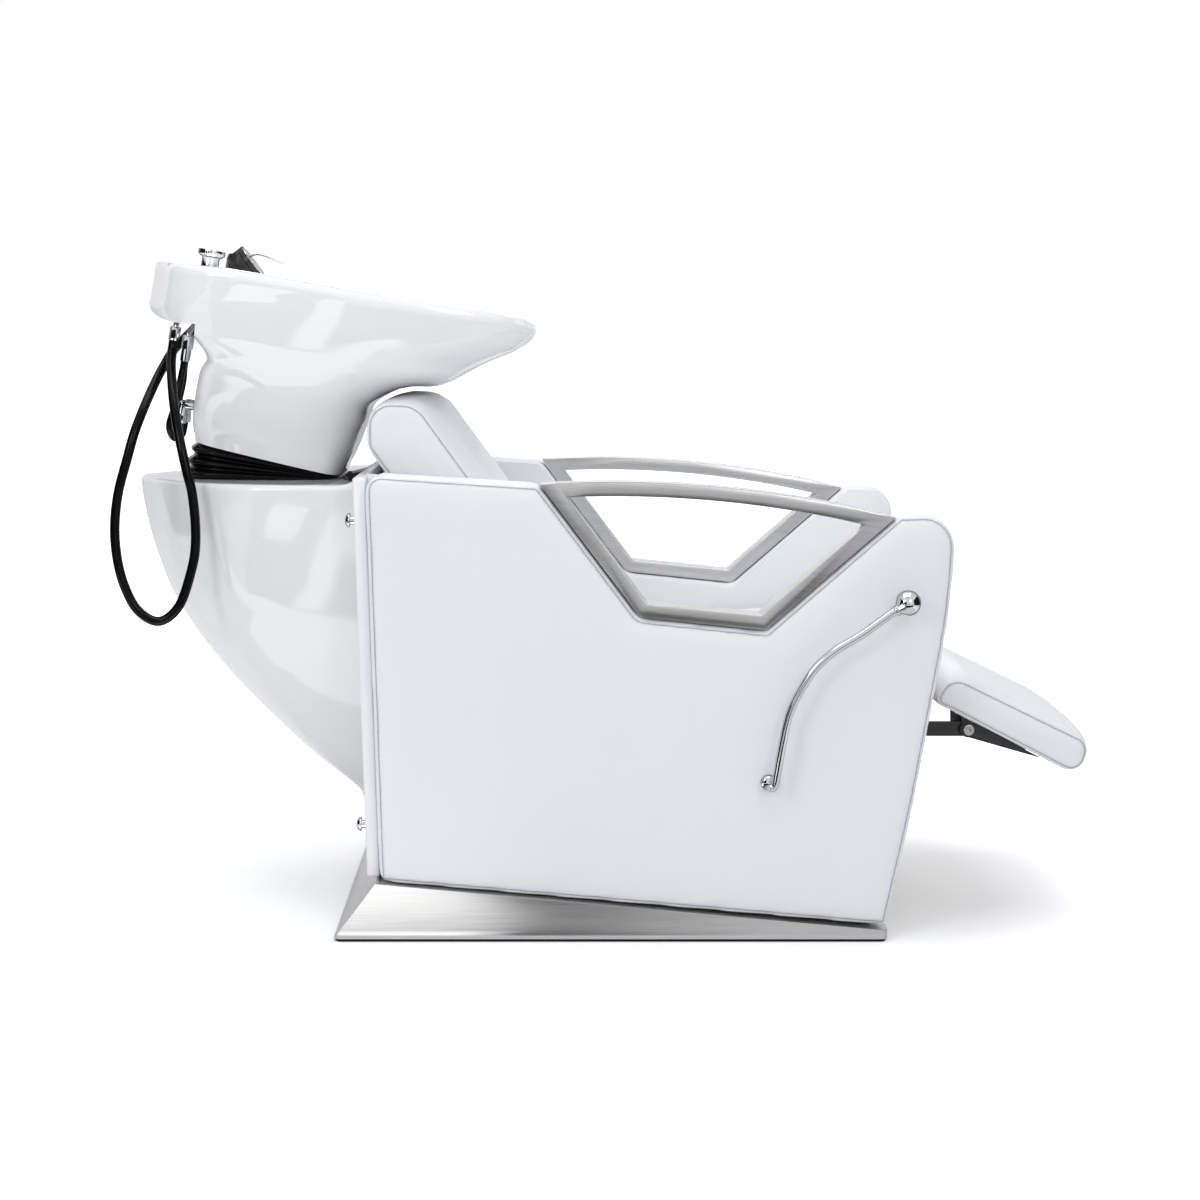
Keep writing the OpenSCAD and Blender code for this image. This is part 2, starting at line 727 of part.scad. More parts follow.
function cover_arc(side) = let(
    back = board_back(side.y),
    scale = (back - side.x) / (back + 721),
    half = [for (p = cover_plan) [back + (p.x + 371) * scale * (back + 721) / 350, p.y * pow(scale, 0.6)]],
    full = concat([for (i = [len(half) - 1:-1:1]) [half[i].x, -half[i].y]], half))
    curve(full, cover_steps);
// Open plan arc moved inward by d
function thinner(arc, d) = let(n = len(arc)) [for (i = [0:n - 1])
    let(t = unit(arc[min(i + 1, n - 1)] - arc[max(i - 1, 0)])) arc[i] + d * (i == 0 ? [0, 1]
        : i == n - 1 ? [0, -1] : [t.y, -t.x])];

module cover_shell() {
    arcs = [for (s = cover_side) cover_arc(s)];
    n = len(arcs[0]);
    rings = [for (k = [0:len(arcs) - 1]) let(z = cover_side[k].y, inner = thinner(arcs[k], cover_t))
        concat([for (p = arcs[k]) [p.x, p.y, z]], [for (i = [n - 1:-1:0]) [inner[i].x, inner[i].y, z]])];
    m = len(rings);
    w = 2 * n;
    top = (m - 1) * w;
    color(gloss_white) polyhedron([for (r = rings) each r], [
        for (k = [0:m - 2]) for (i = [0:w - 1]) each let(
            a = k * w + i,
            b = k * w + (i + 1) % w) [[a, b + w, a + w], [a, b, b + w]],
        for (i = [0:n - 2]) each let(a = i, b = i + 1, c = w - 2 - i, d = w - 1 - i) [[a, c, b], [a, d, c]],
        for (i = [0:n - 2]) each let(a = top + i, b = top + i + 1, c = top + w - 2 - i, d = top + w - 1 - i)
            [[a, b, c], [a, c, d]]]);
}

module cover_deck() {
    color(gloss_white) difference() {
        translate([0, 0, cover_top]) linear_extrude(cover_deck_t) polygon(cover_arc([last(cover_side).x, cover_deck_top]));
        box_at([opening_x[0], -opening_half, cover_top - 1], [opening_x[1], opening_half, cover_deck_top + 1]);
    }
}

// Bowl: closed rings from the foot up to the rim and down into the basin.
// Each ring has half its places, from the rear middle along one side to the front middle.

bowl_rings = [
    [[-640, 0, 669], [-638, 60, 669], [-625, 100, 668], [-585, 119, 666], [-470, 120, 659.5], [-420, 98, 656.5], [-412, 0, 656]],
    [[-633, 0, 692], [-633, 70, 692], [-633, 118, 692], [-580, 125, 691], [-465, 126, 690], [-410, 100, 690], [-402, 0, 690]],
    [[-642, 0, 740], [-640, 85, 740], [-631, 148, 740], [-580, 154, 740], [-455, 156, 740], [-400, 118, 740], [-391, 0, 740]],
    [[-642, 0, 780], [-639, 100, 780], [-623, 180, 780], [-575, 184, 780], [-440, 186, 778], [-389, 138, 774], [-382, 0, 772]],
    [[-638, 0, 800], [-633, 110, 800], [-614, 198, 799], [-575, 200, 802], [-428, 202, 802], [-352, 152, 802], [-345, 0, 801]],
    [[-654, 0, 822], [-652, 108, 822], [-637, 198, 823], [-585, 208, 820], [-415, 213, 818], [-288, 162, 816], [-297, 0, 811]],
    [[-738, 0, 848], [-720, 108, 848], [-677, 188, 845], [-600, 216, 838], [-400, 224, 840], [-256, 168, 850], [-254, 0, 838]],
    [[-744, 0, 872], [-722, 112, 872], [-681, 198, 872], [-602, 231, 874], [-385, 239, 876], [-215, 176, 880], [-224, 0, 865]],
    [[-744, 0, 900], [-722, 112, 900], [-682, 202, 902], [-602, 240, 906], [-378, 248, 908], [-180, 181, 906], [-216, 0, 871]],
    [[-744, 0, 918], [-722, 112, 918], [-682, 203, 919], [-602, 243, 923], [-375, 251, 925], [-165, 183, 925], [-214, 0, 875]],
    [[-741, 0, 923], [-719, 111, 923], [-680, 201, 924.5], [-600, 240, 930], [-374, 247, 932], [-168, 180, 934], [-217, 0, 878]],
    [[-734, 0, 924], [-712, 109, 924], [-674, 196, 925.5], [-596, 233, 932], [-373, 240, 934], [-176, 176, 935.5], [-223, 0, 878]],
    [[-563, 0, 924], [-563, 70, 924], [-560, 146, 925.5], [-530, 201, 929], [-372, 228, 930], [-190, 169, 931], [-232, 0, 874]],
    [[-557, 0, 918], [-557, 69, 918], [-553, 143, 918], [-525, 196, 921], [-370, 222, 922], [-198, 164, 921], [-237, 0, 868]],
    [[-552, 0, 880], [-551, 67, 880], [-546, 136, 880], [-516, 186, 882], [-372, 213, 884], [-228, 157, 884], [-262, 0, 854]],
    [[-552, 0, 835], [-550, 63, 835], [-543, 122, 835], [-512, 166, 836], [-385, 194, 842], [-285, 144, 850], [-305, 0, 836]],
    [[-554, 0, 790], [-552, 57, 790], [-543, 106, 790], [-508, 142, 790], [-420, 164, 796], [-352, 122, 820], [-372, 0, 816]],
    [[-553, 0, 750], [-550, 48, 750], [-539, 84, 750], [-504, 112, 750], [-440, 126, 754], [-401, 92, 772], [-401, 0, 776]],
    [[-546, 0, 722], [-543, 34, 722], [-533, 58, 722], [-500, 76, 722], [-455, 80, 724], [-425, 56, 732], [-423, 0, 736]],
    [[-526, 0, 711], [-523, 16, 711], [-514, 28, 711], [-495, 34, 711], [-474, 31, 711], [-458, 17, 712], [-455, 0, 712]]];
bowl_steps = 4;
foot_front = [-412, 656];
foot_rear = [-640, 669];
function foot_z(x) = along(foot_front, foot_rear, x);
function bowl_ring(half) = let(n = len(half)) loop_curve(concat(
    [for (i = [0:n - 1]) [half[i].x, -half[i].y, half[i].z]],
    [for (i = [n - 2:-1:1]) half[i]]), bowl_steps);

module bowl_body() {
    foot = [for (p = bowl_ring(bowl_rings[0])) [p.x, p.y, foot_z(p.x)]];
    rings = concat([foot], [for (i = [1:len(bowl_rings) - 1]) bowl_ring(bowl_rings[i])]);
    skin([drain.x, 0, foot_z(drain.x)], [for (r = rings) reversed(r)], [drain.x, 0, 708]);
}

// Hollow behind the rear wall, under the deck, for the pipes: deep at the rear, then shallow
skirt_t = [12, 26];
cavity_x = [-642, -592];
cavity_low = [800, 842];
module bowl_cavity(x, z, wall) {
    skirt = shrink([for (p = bowl_ring(bowl_rings[7])) [p.x, p.y]], wall);
    intersection() {
        translate([0, 0, z]) linear_extrude(deck_z - deck_t - z) polygon(skirt);
        box_at([-800, -300, z - 1], [x, 300, deck_z]);
    }
}

foot_x = [-626, -424];
foot_half = 104;
carrier_bolts_at = [for (x = [-598, -445], y = [-78, 78]) [x, y]];
module bowl() {
    color(gloss_white) at_bowl() difference() {
        bowl_body();
        for (i = [0, 1]) bowl_cavity(cavity_x[i], cavity_low[i], skirt_t[i]);
        translate([0, 0, 640]) linear_extrude(foot_cavity_z - 640)
            polygon(rounded([[foot_x[0], -foot_half, 16], [foot_x[1], -foot_half, 24], [foot_x[1], foot_half, 24],
                [foot_x[0], foot_half, 16]]));
        translate([drain.x, 0, 640]) cylinder(h = 200, r = drain_r);
        translate([guide.x, guide.y, deck_z - 74]) cylinder(h = 100, r = guide_r + hole_gap);
        translate([mixer.x, mixer.y, deck_z - 74]) cylinder(h = 100, r = mixer_shank_r + hole_gap);
        for (b = carrier_bolts_at)
            translate([b.x, b.y, 640]) cylinder(h = foot_cavity_z - 640 + 14, r = carrier_bolt_r);
    }
}

// Carrier plate in the foot, with two lugs on the hinge pin
lug_y = [opening_half - 28, opening_half - 20];
carrier_x = [-622, -428];
carrier_half = 96;
lug_r = 11;
module bowl_carrier() {
    low = foot_cavity_z - carrier_t;
    color(black) at_bowl() difference() {
        union() {
            translate([0, 0, low]) linear_extrude(carrier_t) polygon(rounded([[carrier_x[0], -carrier_half, 12],
                [carrier_x[1], -carrier_half, 22], [carrier_x[1], carrier_half, 22], [carrier_x[0], carrier_half, 12]]));
            both_sides() {
                slab([bowl_hinge + [-lug_r, 0], bowl_hinge + [0, lug_r - 0.5], [carrier_x[1], bowl_hinge.y + lug_r + 6],
                    [carrier_x[1], low], [carrier_x[1] - 60, low]], lug_y[0], lug_y[1]);
                pin(bowl_hinge, lug_r, lug_y[0], lug_y[1]);
            }
        }
        pin(bowl_hinge, hinge_r + run, -opening_half, opening_half);
        translate([drain.x, 0, 600]) cylinder(h = 200, r = waste_r + hole_gap + 1);
        for (b = carrier_bolts_at) translate([b.x, b.y, 600]) cylinder(h = 200, r = carrier_bolt_r + 0.3);
    }
}

module carrier_bolts() {
    z = foot_cavity_z - carrier_t;
    color(zinc) at_bowl() for (b = carrier_bolts_at) translate([b.x, b.y, 0]) {
        translate([0, 0, z]) cylinder(h = carrier_t + 12, r = carrier_bolt_r - 0.05);
        translate([0, 0, z - 6]) cylinder(h = 6, r = carrier_bolt_r * 1.8, $fn = 6);
    }
}

// Side plates that carry the hinge, on two flanges behind the rear board
module bowl_bracket() {
    flange_z = [300, 612];
    color(black) both_sides() {
        difference() {
            union() {
                slab([[board_back(flange_z[0]), flange_z[0]], [board_back(flange_z[1]), flange_z[1]],
                    [-600, flange_z[1]], [-600, 560]], gusset_y, gusset_y + gusset_t);
                slab([bowl_hinge + [-30, -25], bowl_hinge + [11, -25], bowl_hinge + [11, 0],
                    bowl_hinge + [-11, 0]], gusset_y, gusset_y + gusset_t);
                pin(bowl_hinge, 11, gusset_y, gusset_y + gusset_t);
                slab([[board_back(flange_z[0]), flange_z[0]], [board_back(flange_z[1]), flange_z[1]],
                    [board_back(flange_z[1]) - 8, flange_z[1]], [board_back(flange_z[0]) - 8, flange_z[0]]],
                    gusset_y, gusset_y + 40);
            }
            pin(bowl_hinge, hinge_r + 0.02, 0, opening_half + 10);
        }
        box_at([-596, 0, flange_z[1] - 12], [-560, gusset_y, flange_z[1] - 4]);
    }
}

gusset_y = lug_y[1] + 2;
pin_end = gusset_y + gusset_t + 4;
module hinge_pin() {
    color(steel) pin(bowl_hinge, hinge_r, -pin_end, pin_end);
}

module hinge_nuts() {
    color(zinc) both_sides() difference() {
        pin(bowl_hinge, hinge_r + 3, gusset_y + gusset_t, pin_end - 1);
        pin(bowl_hinge, hinge_r + 0.02, 0, pin_end + 1);
    }
}

// Gaiter between the column deck and the bowl's foot, open inside
gaiter_levels = 6;
function turned(p, a) = let(x = p.x - bowl_hinge.x, z = p.z - bowl_hinge.y)
    [bowl_hinge.x + x * cos(a) + z * sin(a), p.y, bowl_hinge.y - x * sin(a) + z * cos(a)];
function gaiter_plan(d) = shrink([for (p = bowl_ring(bowl_rings[0])) [p.x, p.y]], d);

module gaiter() {
    low = gaiter_plan(-4);
    high = gaiter_plan(5);
    function wall(k, d) = let(w = k / gaiter_levels) [for (i = [0:len(low) - 1]) let(
        out = unit([low[i].x + 520, low[i].y]),
        tall = turned([high[i].x, 0, foot_z(high[i].x)], bowl_tilt).z - cover_deck_top,
        fold = pleat * min(1, tall / 50) * (k % 2 == 0 ? 0 : 1),
        a = low[i] + (fold - d) * out,
        b = high[i] + (fold - d) * out)
        mix([a.x, a.y, cover_deck_top], turned([b.x, b.y, foot_z(b.x) - seat_gap], bowl_tilt), w)];
    color(black) skin_loop(concat([for (k = [0:gaiter_levels]) wall(k, gaiter_t)],
        [for (k = [gaiter_levels:-1:0]) wall(k, 0)]));
}

// Waste: strainer, tail, hose, trap and the pipe to the floor

module drain_strainer() {
    color(chrome) at_bowl() translate([drain.x, 0, 706]) difference() {
        union() {
            translate([0, 0, 5.5]) cylinder(h = 3, r = drain_r + 7);
            translate([0, 0, -14]) cylinder(h = 20, r = drain_r - 0.3);
        }
        translate([0, 0, -15]) cylinder(h = 19, r = drain_r - 3);
        for (a = [0:60:300]) rotate([0, 0, a]) translate([11, 0, -20]) cylinder(h = 40, r = 3.5);
    }
}

tail_low = 632;
module drain_tail() {
    color(chrome) at_bowl() translate([drain.x, 0, tail_low]) difference() {
        cylinder(h = 692 - tail_low, r = waste_r);
        translate([0, 0, -1]) cylinder(h = 100, r = waste_r - 3);
    }
}

// Rest place of the tail's lower end, and the way it points
tail_end = turned([drain.x, 0, tail_low], bowl_tilt);
trap_x = -505;
trap_z = 499.7;
waste_points = [tail_end + 0.3 * hose_slope, tail_end + 36 * hose_slope, [trap_x + 2, 0, 570],
    [trap_x, 0, 535], [trap_x, 0, trap_z + 0.3]];
module waste_hose() {
    color(black) tube(route(waste_points, 3), waste_r, 12);
}

waste_x = -250;
waste_run_z = 340;
waste_low = 20;
spigot_h = 40;
sleeve_t = 1.5;
module waste_trap() {
    color(gloss_white) {
        translate([trap_x, 0, waste_run_z]) cylinder(h = trap_z - waste_run_z, r = waste_r);
        translate([trap_x, 0, waste_run_z - 30]) cylinder(h = 90, r = waste_r + 12);
        translate([trap_x, 0, waste_run_z]) rotate([0, 90, 0]) cylinder(h = waste_x - trap_x, r = waste_r + sleeve_t);
        translate([waste_x, 0, waste_run_z]) sphere(r = waste_r + sleeve_t);
        translate([waste_x, 0, waste_low]) cylinder(h = spigot_h, r = waste_r);
        translate([waste_x, 0, waste_low + spigot_h])
            cylinder(h = waste_run_z - waste_low - spigot_h, r = waste_r + sleeve_t);
    }
}

// Two stop valves that stand on the floor plate
module inlet_valves() {
    color(chrome) both_sides() translate([-300, 120, floor_plate_t]) {
        cylinder(h = 5, r = 20);
        cylinder(h = 60, r = 9);
        translate([0, 0, 40]) rotate([0, 90, 0]) cylinder(h = 26, r = 8);
        translate([26, 0, 40]) rotate([0, 90, 0]) cylinder(h = 10, r = 14);
    }
}

// Shower in its guide

guide_flange = 4;
guide_low = deck_z - 45;
module shower_guide() {
    color(chrome) at_bowl() translate([guide.x, guide.y, 0]) difference() {
        union() {
            translate([0, 0, guide_low]) cylinder(h = deck_z - guide_low, r = guide_r);
            translate([0, 0, deck_z]) cylinder(h = guide_flange, r = guide_r + 5);
            translate([0, 0, deck_z - deck_t - 8]) cylinder(h = 8 - seat_gap, r = guide_r + 5, $fn = 6);
        }
        translate([0, 0, guide_low - 1]) cylinder(h = 100, r = stub_r + run);
    }
}

shower_low = deck_z - 32;
module shower_head() {
    z = deck_z + guide_flange;
    color(chrome) at_bowl() translate([guide.x, guide.y, 0]) {
        translate([0, 0, shower_low]) cylinder(h = z - shower_low, r = stub_r);
        translate([0, 0, z]) cylinder(h = 15, r = 13);
        translate([0, 0, z + 15]) cylinder(h = 4, r1 = 17, r2 = 20);
        translate([0, 0, z + 19]) cylinder(h = 7, r = 20);
    }
}

// Mixer on the deck

// Bevelled face that the cap turns on
mixer_bevel = 43;
cap_base = [-611.3, deck_z + 19.3];
mixer_peak_x = -626;
stem_r = 9;
stem_depth = 14;
barrel_h = 20;
mixer_shank_h = 52;
shank_low = deck_z - mixer_shank_h;
function bevel_z(x) = cap_base.y - (x - cap_base.x) * tan(mixer_bevel);
module at_cap() {
    translate([cap_base.x, mixer.y, cap_base.y]) rotate([0, mixer_bevel, 0]) children();
}

module mixer_body() {
    back = mixer.x - mixer_r - 1;
    front = mixer.x + mixer_r;
    peak = bevel_z(mixer_peak_x);
    color(black) at_bowl() difference() {
        union() {
            intersection() {
                translate([mixer.x, mixer.y, deck_z]) cylinder(h = 60, r = mixer_r);
                slab([[back, deck_z], [front, deck_z], [front, bevel_z(front)], [mixer_peak_x, peak],
                    [back + 5, peak - 3], [back, peak - 12]], mixer.y - 40, mixer.y + 40);
            }
            intersection() {
                at_cap() translate([0, 0, -barrel_h]) cylinder(h = barrel_h - cap_gap, r = cap_r);
                box_at([mixer.x - 60, mixer.y - 60, deck_z], [mixer.x + 60, mixer.y + 60, deck_z + 60]);
            }
            translate([mixer.x, mixer.y, shank_low]) cylinder(h = mixer_shank_h, r = mixer_shank_r);
            translate([mixer.x, mixer.y, deck_z - deck_t - 10]) cylinder(h = 10 - seat_gap, r = 26, $fn = 6);
        }
        at_cap() translate([0, 0, -stem_depth - 1]) cylinder(h = 60, r = stem_r + run);
    }
}

cap_r = 27.6;
cap_h = 8;
cap_gap = 0.5;
lever_at = [-9.3, 5];
mixer_pin_r = 2;
lever_slot = [lever_at.x - 4.5, lever_at.x + 8];
module mixer_cap() {
    top = cap_gap + cap_h;
    color(black) at_bowl() at_cap() difference() {
        union() {
            translate([0, 0, -stem_depth]) cylinder(h = stem_depth + 1, r = stem_r);
            translate([0, 0, cap_gap]) cylinder(h = cap_h, r = cap_r);
        }
        box_at([lever_slot[0], -2.6, lever_at.y - 3], [lever_slot[1], 2.6, top + 1]);
        translate([lever_at.x, 5, lever_at.y]) rotate([90, 0, 0]) cylinder(h = 10, r = mixer_pin_r + run);
    }
}

// Thin bent lever on a cross pin in the cap
lever_line = [[0, 0, 0], [4.1, 0, 2.9], [13, 0, 7.7], [25, 0, 7.7], [40, 0, 4.7], [55, 0, 1.7]];
module mixer_lever() {
    pivot = [cap_base.x + lever_at.x * cos(mixer_bevel) + lever_at.y * sin(mixer_bevel), mixer.y,
        cap_base.y - lever_at.x * sin(mixer_bevel) + lever_at.y * cos(mixer_bevel)];
    color(chrome) at_bowl() translate(pivot) {
        rotate([90, 0, 0]) translate([0, 0, -4.6]) cylinder(h = 9.2, r = mixer_pin_r);
        tube(route(lever_line, 2), 1.8, 8);
    }
}

// Pipes from the mixer's shank to the three nuts behind the bowl

nut_a = [-680, -140, 834];
nut_b = [-661, -135, 824];
nut_c = [-664, -104, 824];
pipe_starts = [[-624, 13, shank_low], [-612, 13, shank_low], [-618, 27, shank_low]];
module pipe_run(start, end, level) {
    tube(route([start, start - [0, 0, 7], [start.x - 2, start.y - 22, level], [-630, -55, level - 1],
        [end.x + 22, end.y + 34, level - 2], [end.x + 5, end.y + 10, end.z + 14], end + [0, 0, 5], end], 2), pipe_r, 8);
}

module mixer_pipes() {
    color(chrome) at_bowl() {
        pipe_run(pipe_starts[0], nut_a, deck_z - 64);
        pipe_run(pipe_starts[1], nut_b, deck_z - 73);
        pipe_run(pipe_starts[2], nut_c, deck_z - 73);
    }
}

nut_r = 8;
nut_h = 20;
ferrule_h = 18;
module pipe_nuts() {
    color(chrome) at_bowl() {
        for (n = [nut_a, nut_b, nut_c]) translate(n - [0, 0, nut_h]) cylinder(h = nut_h, r = nut_r, $fn = 6);
        for (n = [nut_b, nut_c]) translate(n - [0, 0, nut_h + ferrule_h]) cylinder(h = ferrule_h, r = feed_r + 1.2);
    }
}

// Elbows in the rear wall, with their mouths down
elbow_b = [-656, -110];
elbow_c = [-656, -66];
elbow_low = 694;
elbow_h = 28;
elbow_bend = elbow_low + elbow_h;
module inlet_elbows() {
    color(chrome) at_bowl() for (e = [elbow_b, elbow_c]) {
        translate([e.x, e.y, elbow_low]) cylinder(h = elbow_bend - elbow_low, r = 6.5);
        translate([e.x, e.y, elbow_low]) cylinder(h = 12, r = 8, $fn = 6);
        translate([e.x, e.y, elbow_bend]) sphere(r = 6.5);
        translate([e.x, e.y, elbow_bend]) rotate([0, 90, 0]) cylinder(h = 16, r = 6.5);
    }
}

// Routes in the rest pose, chosen by hand
function rest(p) = turned(p, bowl_tilt);
ferrule_low = nut_h + ferrule_h;
feed_b = [
    rest(nut_b - [0, 0, ferrule_low]), rest(nut_b - [0, 0, ferrule_low + 10]), [-636, -138, 800], [-641, -142, 772],
    [-648, -143, 750], [-653, -142, 734], [-653, -137, 721], [-649, -127, 712], [-645, -116, 714],
    rest([elbow_b.x, elbow_b.y, elbow_low - 10]), rest([elbow_b.x, elbow_b.y, elbow_low])];
feed_c = [
    rest(nut_c - [0, 0, ferrule_low]), rest(nut_c - [0, 0, ferrule_low + 10]), [-639, -97, 796], [-646, -91, 769],
    [-651, -88, 750], [-655, -88, 734], [-654, -84, 721], [-650, -76, 712], [-646, -69, 715],
    rest([elbow_c.x, elbow_c.y, elbow_low - 10]), rest([elbow_c.x, elbow_c.y, elbow_low])];
module feed_hoses() {
    color(black) {
        tube(route(feed_b, 2), feed_r, 8);
        tube(route(feed_c, 2), feed_r, 8);
    }
}

shower_end = rest([guide.x, guide.y, shower_low - 0.05]);
hose_end = rest(nut_a - [0, 0, nut_h]);
hose_points = [
    shower_end, shower_end + 14 * hose_slope, [-616, -51, 898], [-623, -60, 879], [-636, -78, 862], [-651, -100, 843],
    [-661, -138, 818], [-669, -174, 792], [-679, -205, 759], [-690, -225, 723], [-700, -232, 685],
    [-712, -232, 643], [-718, -232, 605], [-719, -232, 569], [-715, -232, 533], [-707, -232, 503],
    [-693, -232, 473], [-675, -232, 456], [-657, -232, 451], [-639, -232, 461], [-624, -232, 482],
    [-611, -232, 521], [-604, -232, 554], [-603, -232, 593], [-607, -232, 638], [-614, -232, 668],
    [-624, -225, 711], [-635, -205, 760], [-642, -180, 796], [-647, -154, 822],
    hose_end + 14 * hose_slope, hose_end];
module shower_hose() {
    color(black) tube(route(hose_points, 2), hose_r, 10);
}

floor_gasket();
floor_plate();
plinth_shell();
side_board_near();
side_board_far();
side_pad_near();
side_pad_far();
armrest_near();
armrest_far();
seat_board();
seat_cushion();
back_board();
back_cushion();
board_brackets();
rear_board();
rear_screws();
cover_shell();
cover_deck();
gaiter();
bowl_bracket();
hinge_pin();
hinge_nuts();
waste_hose();
waste_trap();
inlet_valves();
lever_bush();
hinge_blocks();
control_brackets();
bowl();
bowl_carrier();
carrier_bolts();
drain_strainer();
drain_tail();
shower_guide();
shower_hose();
mixer_body();
mixer_pipes();
pipe_nuts();
feed_hoses();
inlet_elbows();
shower_head();
mixer_cap();
mixer_lever();
leg_link_near();
leg_link_far();
control_links();
leg_bracket();
leg_cushion();
leg_bolts();
lever_hub();
lever_rod();
lever_ball();
lever_shaft();
push_rod();
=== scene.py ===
# Shampoo station: a wash chair with a lever-worked leg rest, joined to a column with a tilting bowl.
# Sizes are written in millimetres and become metres when a mesh is made. The frame is the CAD part's.

import json
import math

import bmesh
import bpy
import numpy as np
from mathutils import Matrix, Vector
from mathutils.bvhtree import BVHTree
from mathutils.kdtree import KDTree

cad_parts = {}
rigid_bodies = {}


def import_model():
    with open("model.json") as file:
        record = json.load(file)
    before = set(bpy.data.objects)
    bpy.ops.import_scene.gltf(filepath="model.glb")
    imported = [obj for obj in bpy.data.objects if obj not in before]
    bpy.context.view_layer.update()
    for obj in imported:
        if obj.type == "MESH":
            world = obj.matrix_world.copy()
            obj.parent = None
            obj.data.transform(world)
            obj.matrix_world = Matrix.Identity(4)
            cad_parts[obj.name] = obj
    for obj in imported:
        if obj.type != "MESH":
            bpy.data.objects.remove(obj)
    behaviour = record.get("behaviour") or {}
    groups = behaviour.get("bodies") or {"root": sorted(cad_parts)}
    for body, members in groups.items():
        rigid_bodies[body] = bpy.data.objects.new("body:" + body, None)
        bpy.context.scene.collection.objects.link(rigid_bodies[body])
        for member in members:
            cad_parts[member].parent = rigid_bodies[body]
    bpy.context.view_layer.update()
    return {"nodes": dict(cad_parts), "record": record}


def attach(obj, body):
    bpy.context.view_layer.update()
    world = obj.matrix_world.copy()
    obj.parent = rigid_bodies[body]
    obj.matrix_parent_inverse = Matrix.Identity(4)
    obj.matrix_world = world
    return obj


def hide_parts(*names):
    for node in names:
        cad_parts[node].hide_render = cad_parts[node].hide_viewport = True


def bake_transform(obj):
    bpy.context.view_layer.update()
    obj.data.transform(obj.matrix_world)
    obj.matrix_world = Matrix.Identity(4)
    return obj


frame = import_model()
scene = bpy.context.scene
MM = 0.001


# Camera: it stands 3.5 m to the lever's side of the chair, at the height of the bowl,
# with a long lens that looks a few degrees down.

EYE = (-0.0902, -3.4641, 0.8794)
LOOK_DOWN = math.radians(6.965)
TURN = math.radians(-1.297)
ROLL = math.radians(0.354)

lens = bpy.data.cameras.new("camera")
lens.lens = 67.02
lens.sensor_width = 36
camera = bpy.data.objects.new("camera", lens)
scene.collection.objects.link(camera)
camera.matrix_world = (
    Matrix.Translation(EYE)
    @ Matrix.Rotation(TURN, 4, "Z")
    @ Matrix.Rotation(math.pi / 2 - LOOK_DOWN, 4, "X")
    @ Matrix.Rotation(ROLL, 4, "Z")
)
scene.camera = camera
scene.view_settings.view_transform = "Standard"


# Studio: a white floor that runs out of sight, a white surround, soft boxes overhead, in
# front and behind, and black and bright cards that only gloss and metal see.


class Value:
    """An output in a material, for use in Python expressions."""

    def __init__(self, finish, socket):
        self.finish = finish
        self.socket = socket

    def done(self, operation, first, second):
        return self.finish.node("ShaderNodeMath", {"operation": operation}, {0: first, 1: second})

    def __add__(self, other):
        return self.done("ADD", self, other)

    def __mul__(self, other):
        return self.done("MULTIPLY", self, other)

    __radd__ = __add__
    __rmul__ = __mul__


class Finish:
    """A node tree being made for a material or the world, with one way to add nodes."""

    def __init__(self, block, shader="Principled BSDF", **settings):
        block.use_nodes = True
        self.block = block
        self.nodes = block.node_tree.nodes
        self.links = block.node_tree.links
        self.shader = self.nodes[shader]
        self.feed(self.shader, {name.replace("_", " "): value for name, value in settings.items()})

    def feed(self, node, inputs):
        for name, term in inputs.items():
            socket = node.inputs[name]
            if isinstance(term, Value):
                self.links.new(term.socket, socket)
            elif socket.type == "RGBA" and not isinstance(term, float):
                socket.default_value = (*term, 1)
            else:
                socket.default_value = term

    def node(self, kind, settings=None, inputs=None, out=0):
        """Adds a node: its settings first, then the values or links of its sockets."""
        node = self.nodes.new(kind)
        for name, setting in (settings or {}).items():
            if name == "stops":
                ramp = node.color_ramp.elements
                while len(ramp) < len(setting):
                    ramp.new(0.5)
                for element, (place, tone) in zip(ramp, setting):
                    element.position = place
                    element.color = (tone, tone, tone, 1)
            else:
                setattr(node, name, setting)
        self.feed(node, inputs or {})
        return Value(self, node.outputs[out])

    def where(self, stretch=(1, 1, 1)):
        """Coordinates on the piece, stretched along its axes."""
        place = self.node("ShaderNodeTexCoord", out="Object")
        return self.node("ShaderNodeMapping", {}, {"Vector": place, "Scale": stretch})

    def noise(self, scale, detail, stretch=(1, 1, 1), place=None):
        place = place or self.where(stretch)
        return self.node("ShaderNodeTexNoise", {}, {"Vector": place, "Scale": scale, "Detail": detail})

    def steps(self, value, *stops):
        """A value led through a ramp of (place, tone) stops."""
        return self.node("ShaderNodeValToRGB", {"stops": stops}, {"Fac": value})

    def blend(self, mask, low, high):
        """A colour between two, by a mask."""
        return self.node("ShaderNodeMix", {"data_type": "RGBA"}, {0: mask, 6: low, 7: high}, out=2)

    def relief(self, height, depth):
        """Surface relief, with its depth in millimetres."""
        bump = self.node("ShaderNodeBump", {}, {
            "Height": height, "Distance": depth * MM, "Strength": 1.0})
        self.feed(self.shader, {"Normal": bump})

    def look(self, **inputs):
        self.feed(self.shader, {name.replace("_", " "): term for name, term in inputs.items()})

    def mottled(self, scale, detail, low, high):
        """A colour that wanders between two with a noise."""
        self.look(Base_Color=self.blend(self.noise(scale, detail), low, high))

    def worn(self, scale, detail, *stops):
        """A roughness that follows a noise through (place, roughness) stops."""
        self.look(Roughness=self.steps(self.noise(scale, detail), *stops))

    def grained(self, scale, detail, depth):
        """Relief from a noise, with its depth in millimetres."""
        self.relief(self.noise(scale, detail), depth)


def material(name, **settings):
    return Finish(bpy.data.materials.new(name), **settings)


